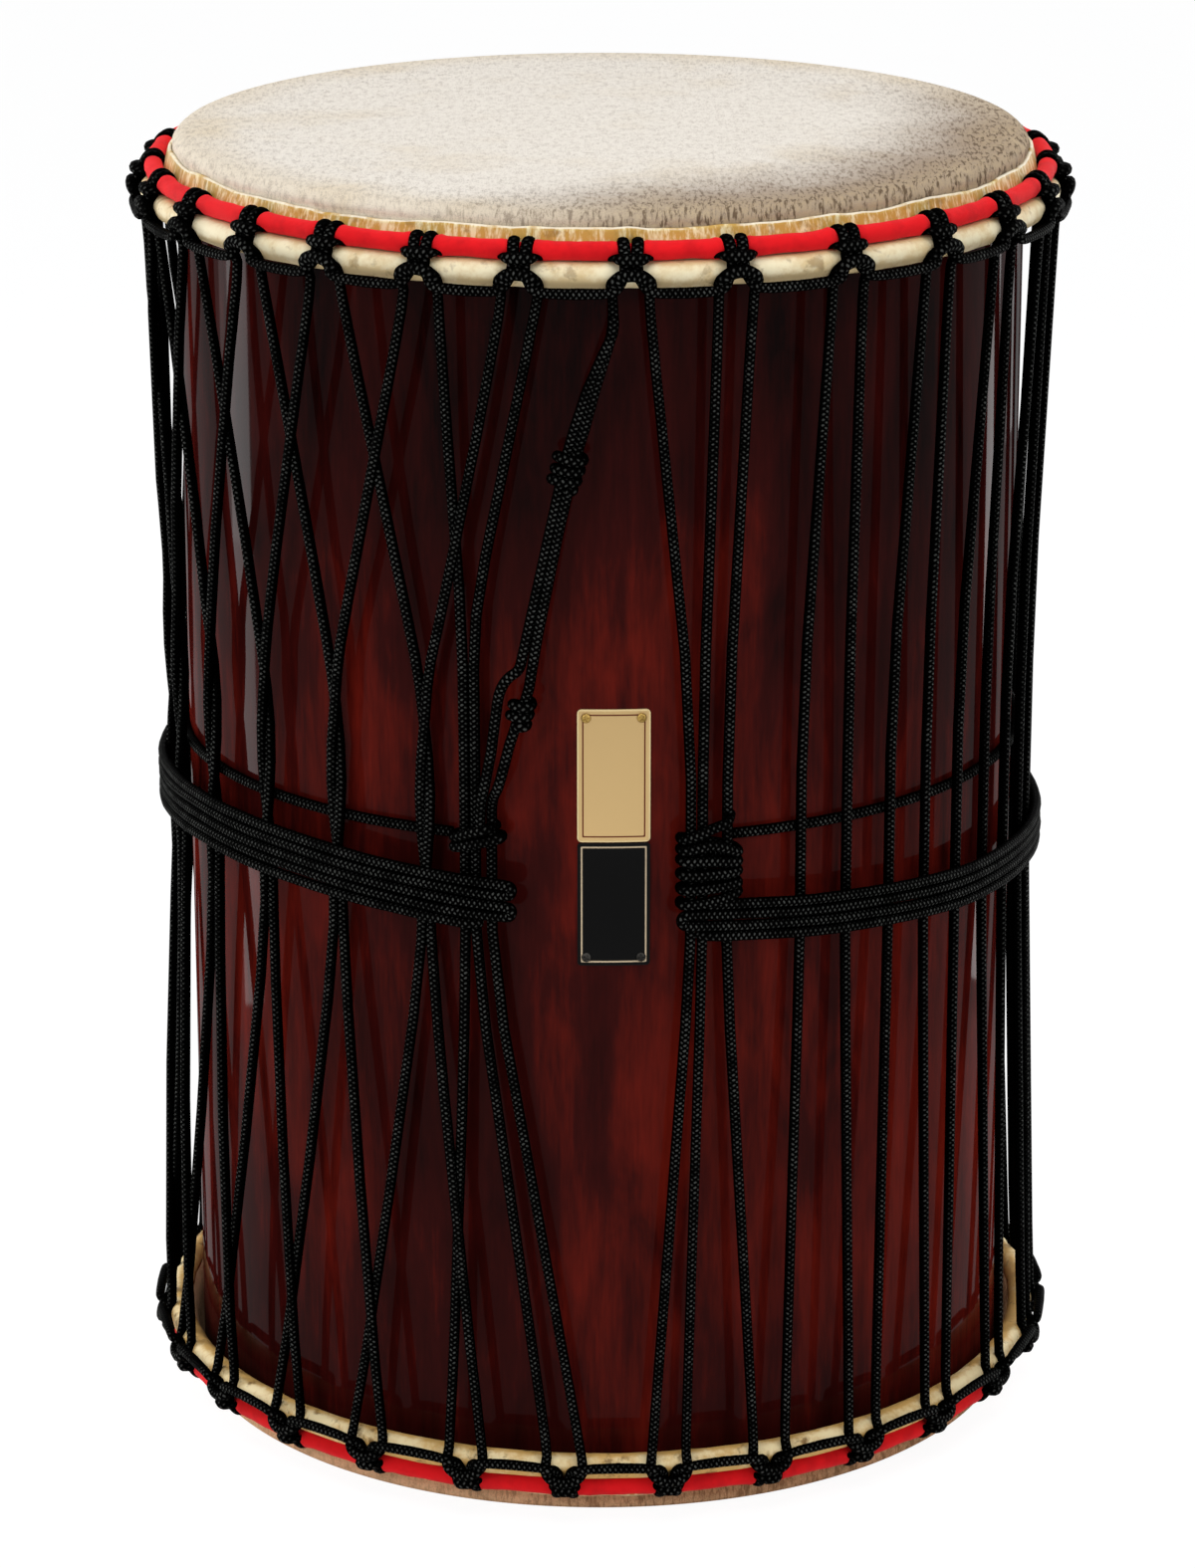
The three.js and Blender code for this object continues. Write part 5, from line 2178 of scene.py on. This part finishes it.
BROWN_HAIR = HairedHide(
    name="brown_haired_hide",
    pale=0xEFC498,
    speck=0x936A46,
    shade=0xA8815A,
    rim=0xEFC498,
    root=0x8A6646,
)
GOLDEN_HIDE = BareHide(
    name="golden_hide",
    cream=0xFAE6B4,
    amber=0xD09C3E,
    brown=0x7C5A2C,
    cut=0xFAE9BE,
    fibre=0xFAE9BE,
    ambered=0.8,
    spotted=0.9,
    middle=12.5,
)
HOOP_STEEL = Metal("hoop_steel_finish", 0x6A655E, 0x3B3733, 0.4)
BRASS = Metal("brass_finish", 0xA98B4C, 0x7A5E30, 0.25)
DARK_METAL = Metal("dark_screw_finish", 0x3A3835, 0x1C1B1A, 0.35)

UPPER_PLATE = Plate("gold_plate_face", "upper_plate", 32.7, 62.0, 2.0, 326.0)
LOWER_PLATE = Plate("black_plate_face", "lower_plate", 32.5, 58.0, 1.5, 267.5)
GOLD = PlateFinish(
    name="gold_plate_finish",
    face=0xC9A873,
    line=0x5E2A1A,
    edge=0xE6CF9C,
    metal=0.3,
    roughness=0.38,
    half_width=UPPER_PLATE.width / 2,
    half_height=UPPER_PLATE.height / 2,
    line_inset=2.6,
    line_width=0.42,
)
BLACK = PlateFinish(
    name="black_plate_finish",
    face=0x070707,
    line=0xC4B093,
    edge=0x101010,
    metal=0.0,
    roughness=0.4,
    half_width=LOWER_PLATE.width / 2,
    half_height=LOWER_PLATE.height / 2,
    line_inset=1.9,
    line_width=0.45,
)

LEFT_KNOT = BundleKnot(
    name="left_knot",
    node="waist_knot_left",
    start=-17.2,
    stop=-13.7,
    laps=((334.6, 333.0, 328.4, 0.9), (329.4, 327.0, 323.8, 0.3)),
)
RIGHT_KNOT = BundleKnot(
    name="right_knot",
    node="waist_knot_right",
    start=11.3,
    stop=16.0,
    laps=(
        (338.6, 335.4, 329.4, 1.8), (322.0, 327.6, 324.2, 1.0), (317.4, 319.4, 319.2, 0.2),
        (313.0, 313.2, 312.6, 1.1), (307.4, 306.6, 305.6, 0.5), (303.4, 300.2, 298.6, 0.9),
    ),
)


def build_heads(braid: bpy.types.Material) -> None:
    """Build both heads with their cloth and cradle ropes, and dress the hidden hoops.

    Args:
        braid: The ropes' finish.
    """
    cloth = RedCloth().material()
    steel = HOOP_STEEL.material()
    heads = {
        End.TOP: (Head(End.TOP), HairedHide(), BareHide()),
        End.BOTTOM: (Head(End.BOTTOM, fur=4.6), BROWN_HAIR, GOLDEN_HIDE),
    }
    for end, (head, haired, bare) in heads.items():
        head.build(haired.material(), bare.material())
        ClothWrap(end).build(cloth)
        Cradle(end).build(braid)
        for ring in (f"flesh_ring_{end.value}", f"crown_ring_{end.value}"):
            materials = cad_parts[ring].data.materials
            materials.clear()
            materials.append(steel)


def build_plates() -> None:
    """Build both plates and their screws."""
    UPPER_PLATE.build(GOLD.material(), "gold_plate")
    LOWER_PLATE.build(BLACK.material(), "black_plate")
    brass, dark = BRASS.material(), DARK_METAL.material()
    for side, sign, turn in (("left", -1, 20.0), ("right", 1, -35.0)):
        node = f"plate_screw_{side}"
        above = Screw(f"brass_screw_{side}", f"upper_{node}", sign * 12.35, 384.0, turn)
        above.build(brass, "brass_screw")
        below = Screw(f"dark_screw_{side}", f"lower_{node}", sign * 12.25, 271.5, turn + 40)
        below.build(dark, "black_screw")


def main() -> None:
    """Build the drum's looks, piece by piece."""
    logging.basicConfig(level=logging.INFO, format="%(name)s: %(message)s")
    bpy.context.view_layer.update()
    Studio().build()
    Shell().build(Lacquer().material())
    braid = BraidedRope().material()
    build_heads(braid)
    for ropes in (Lacing(), Tail(), LEFT_KNOT, RIGHT_KNOT, WaistRopes()):
        ropes.build(braid)
    build_plates()


if __name__ == "__main__":
    main()
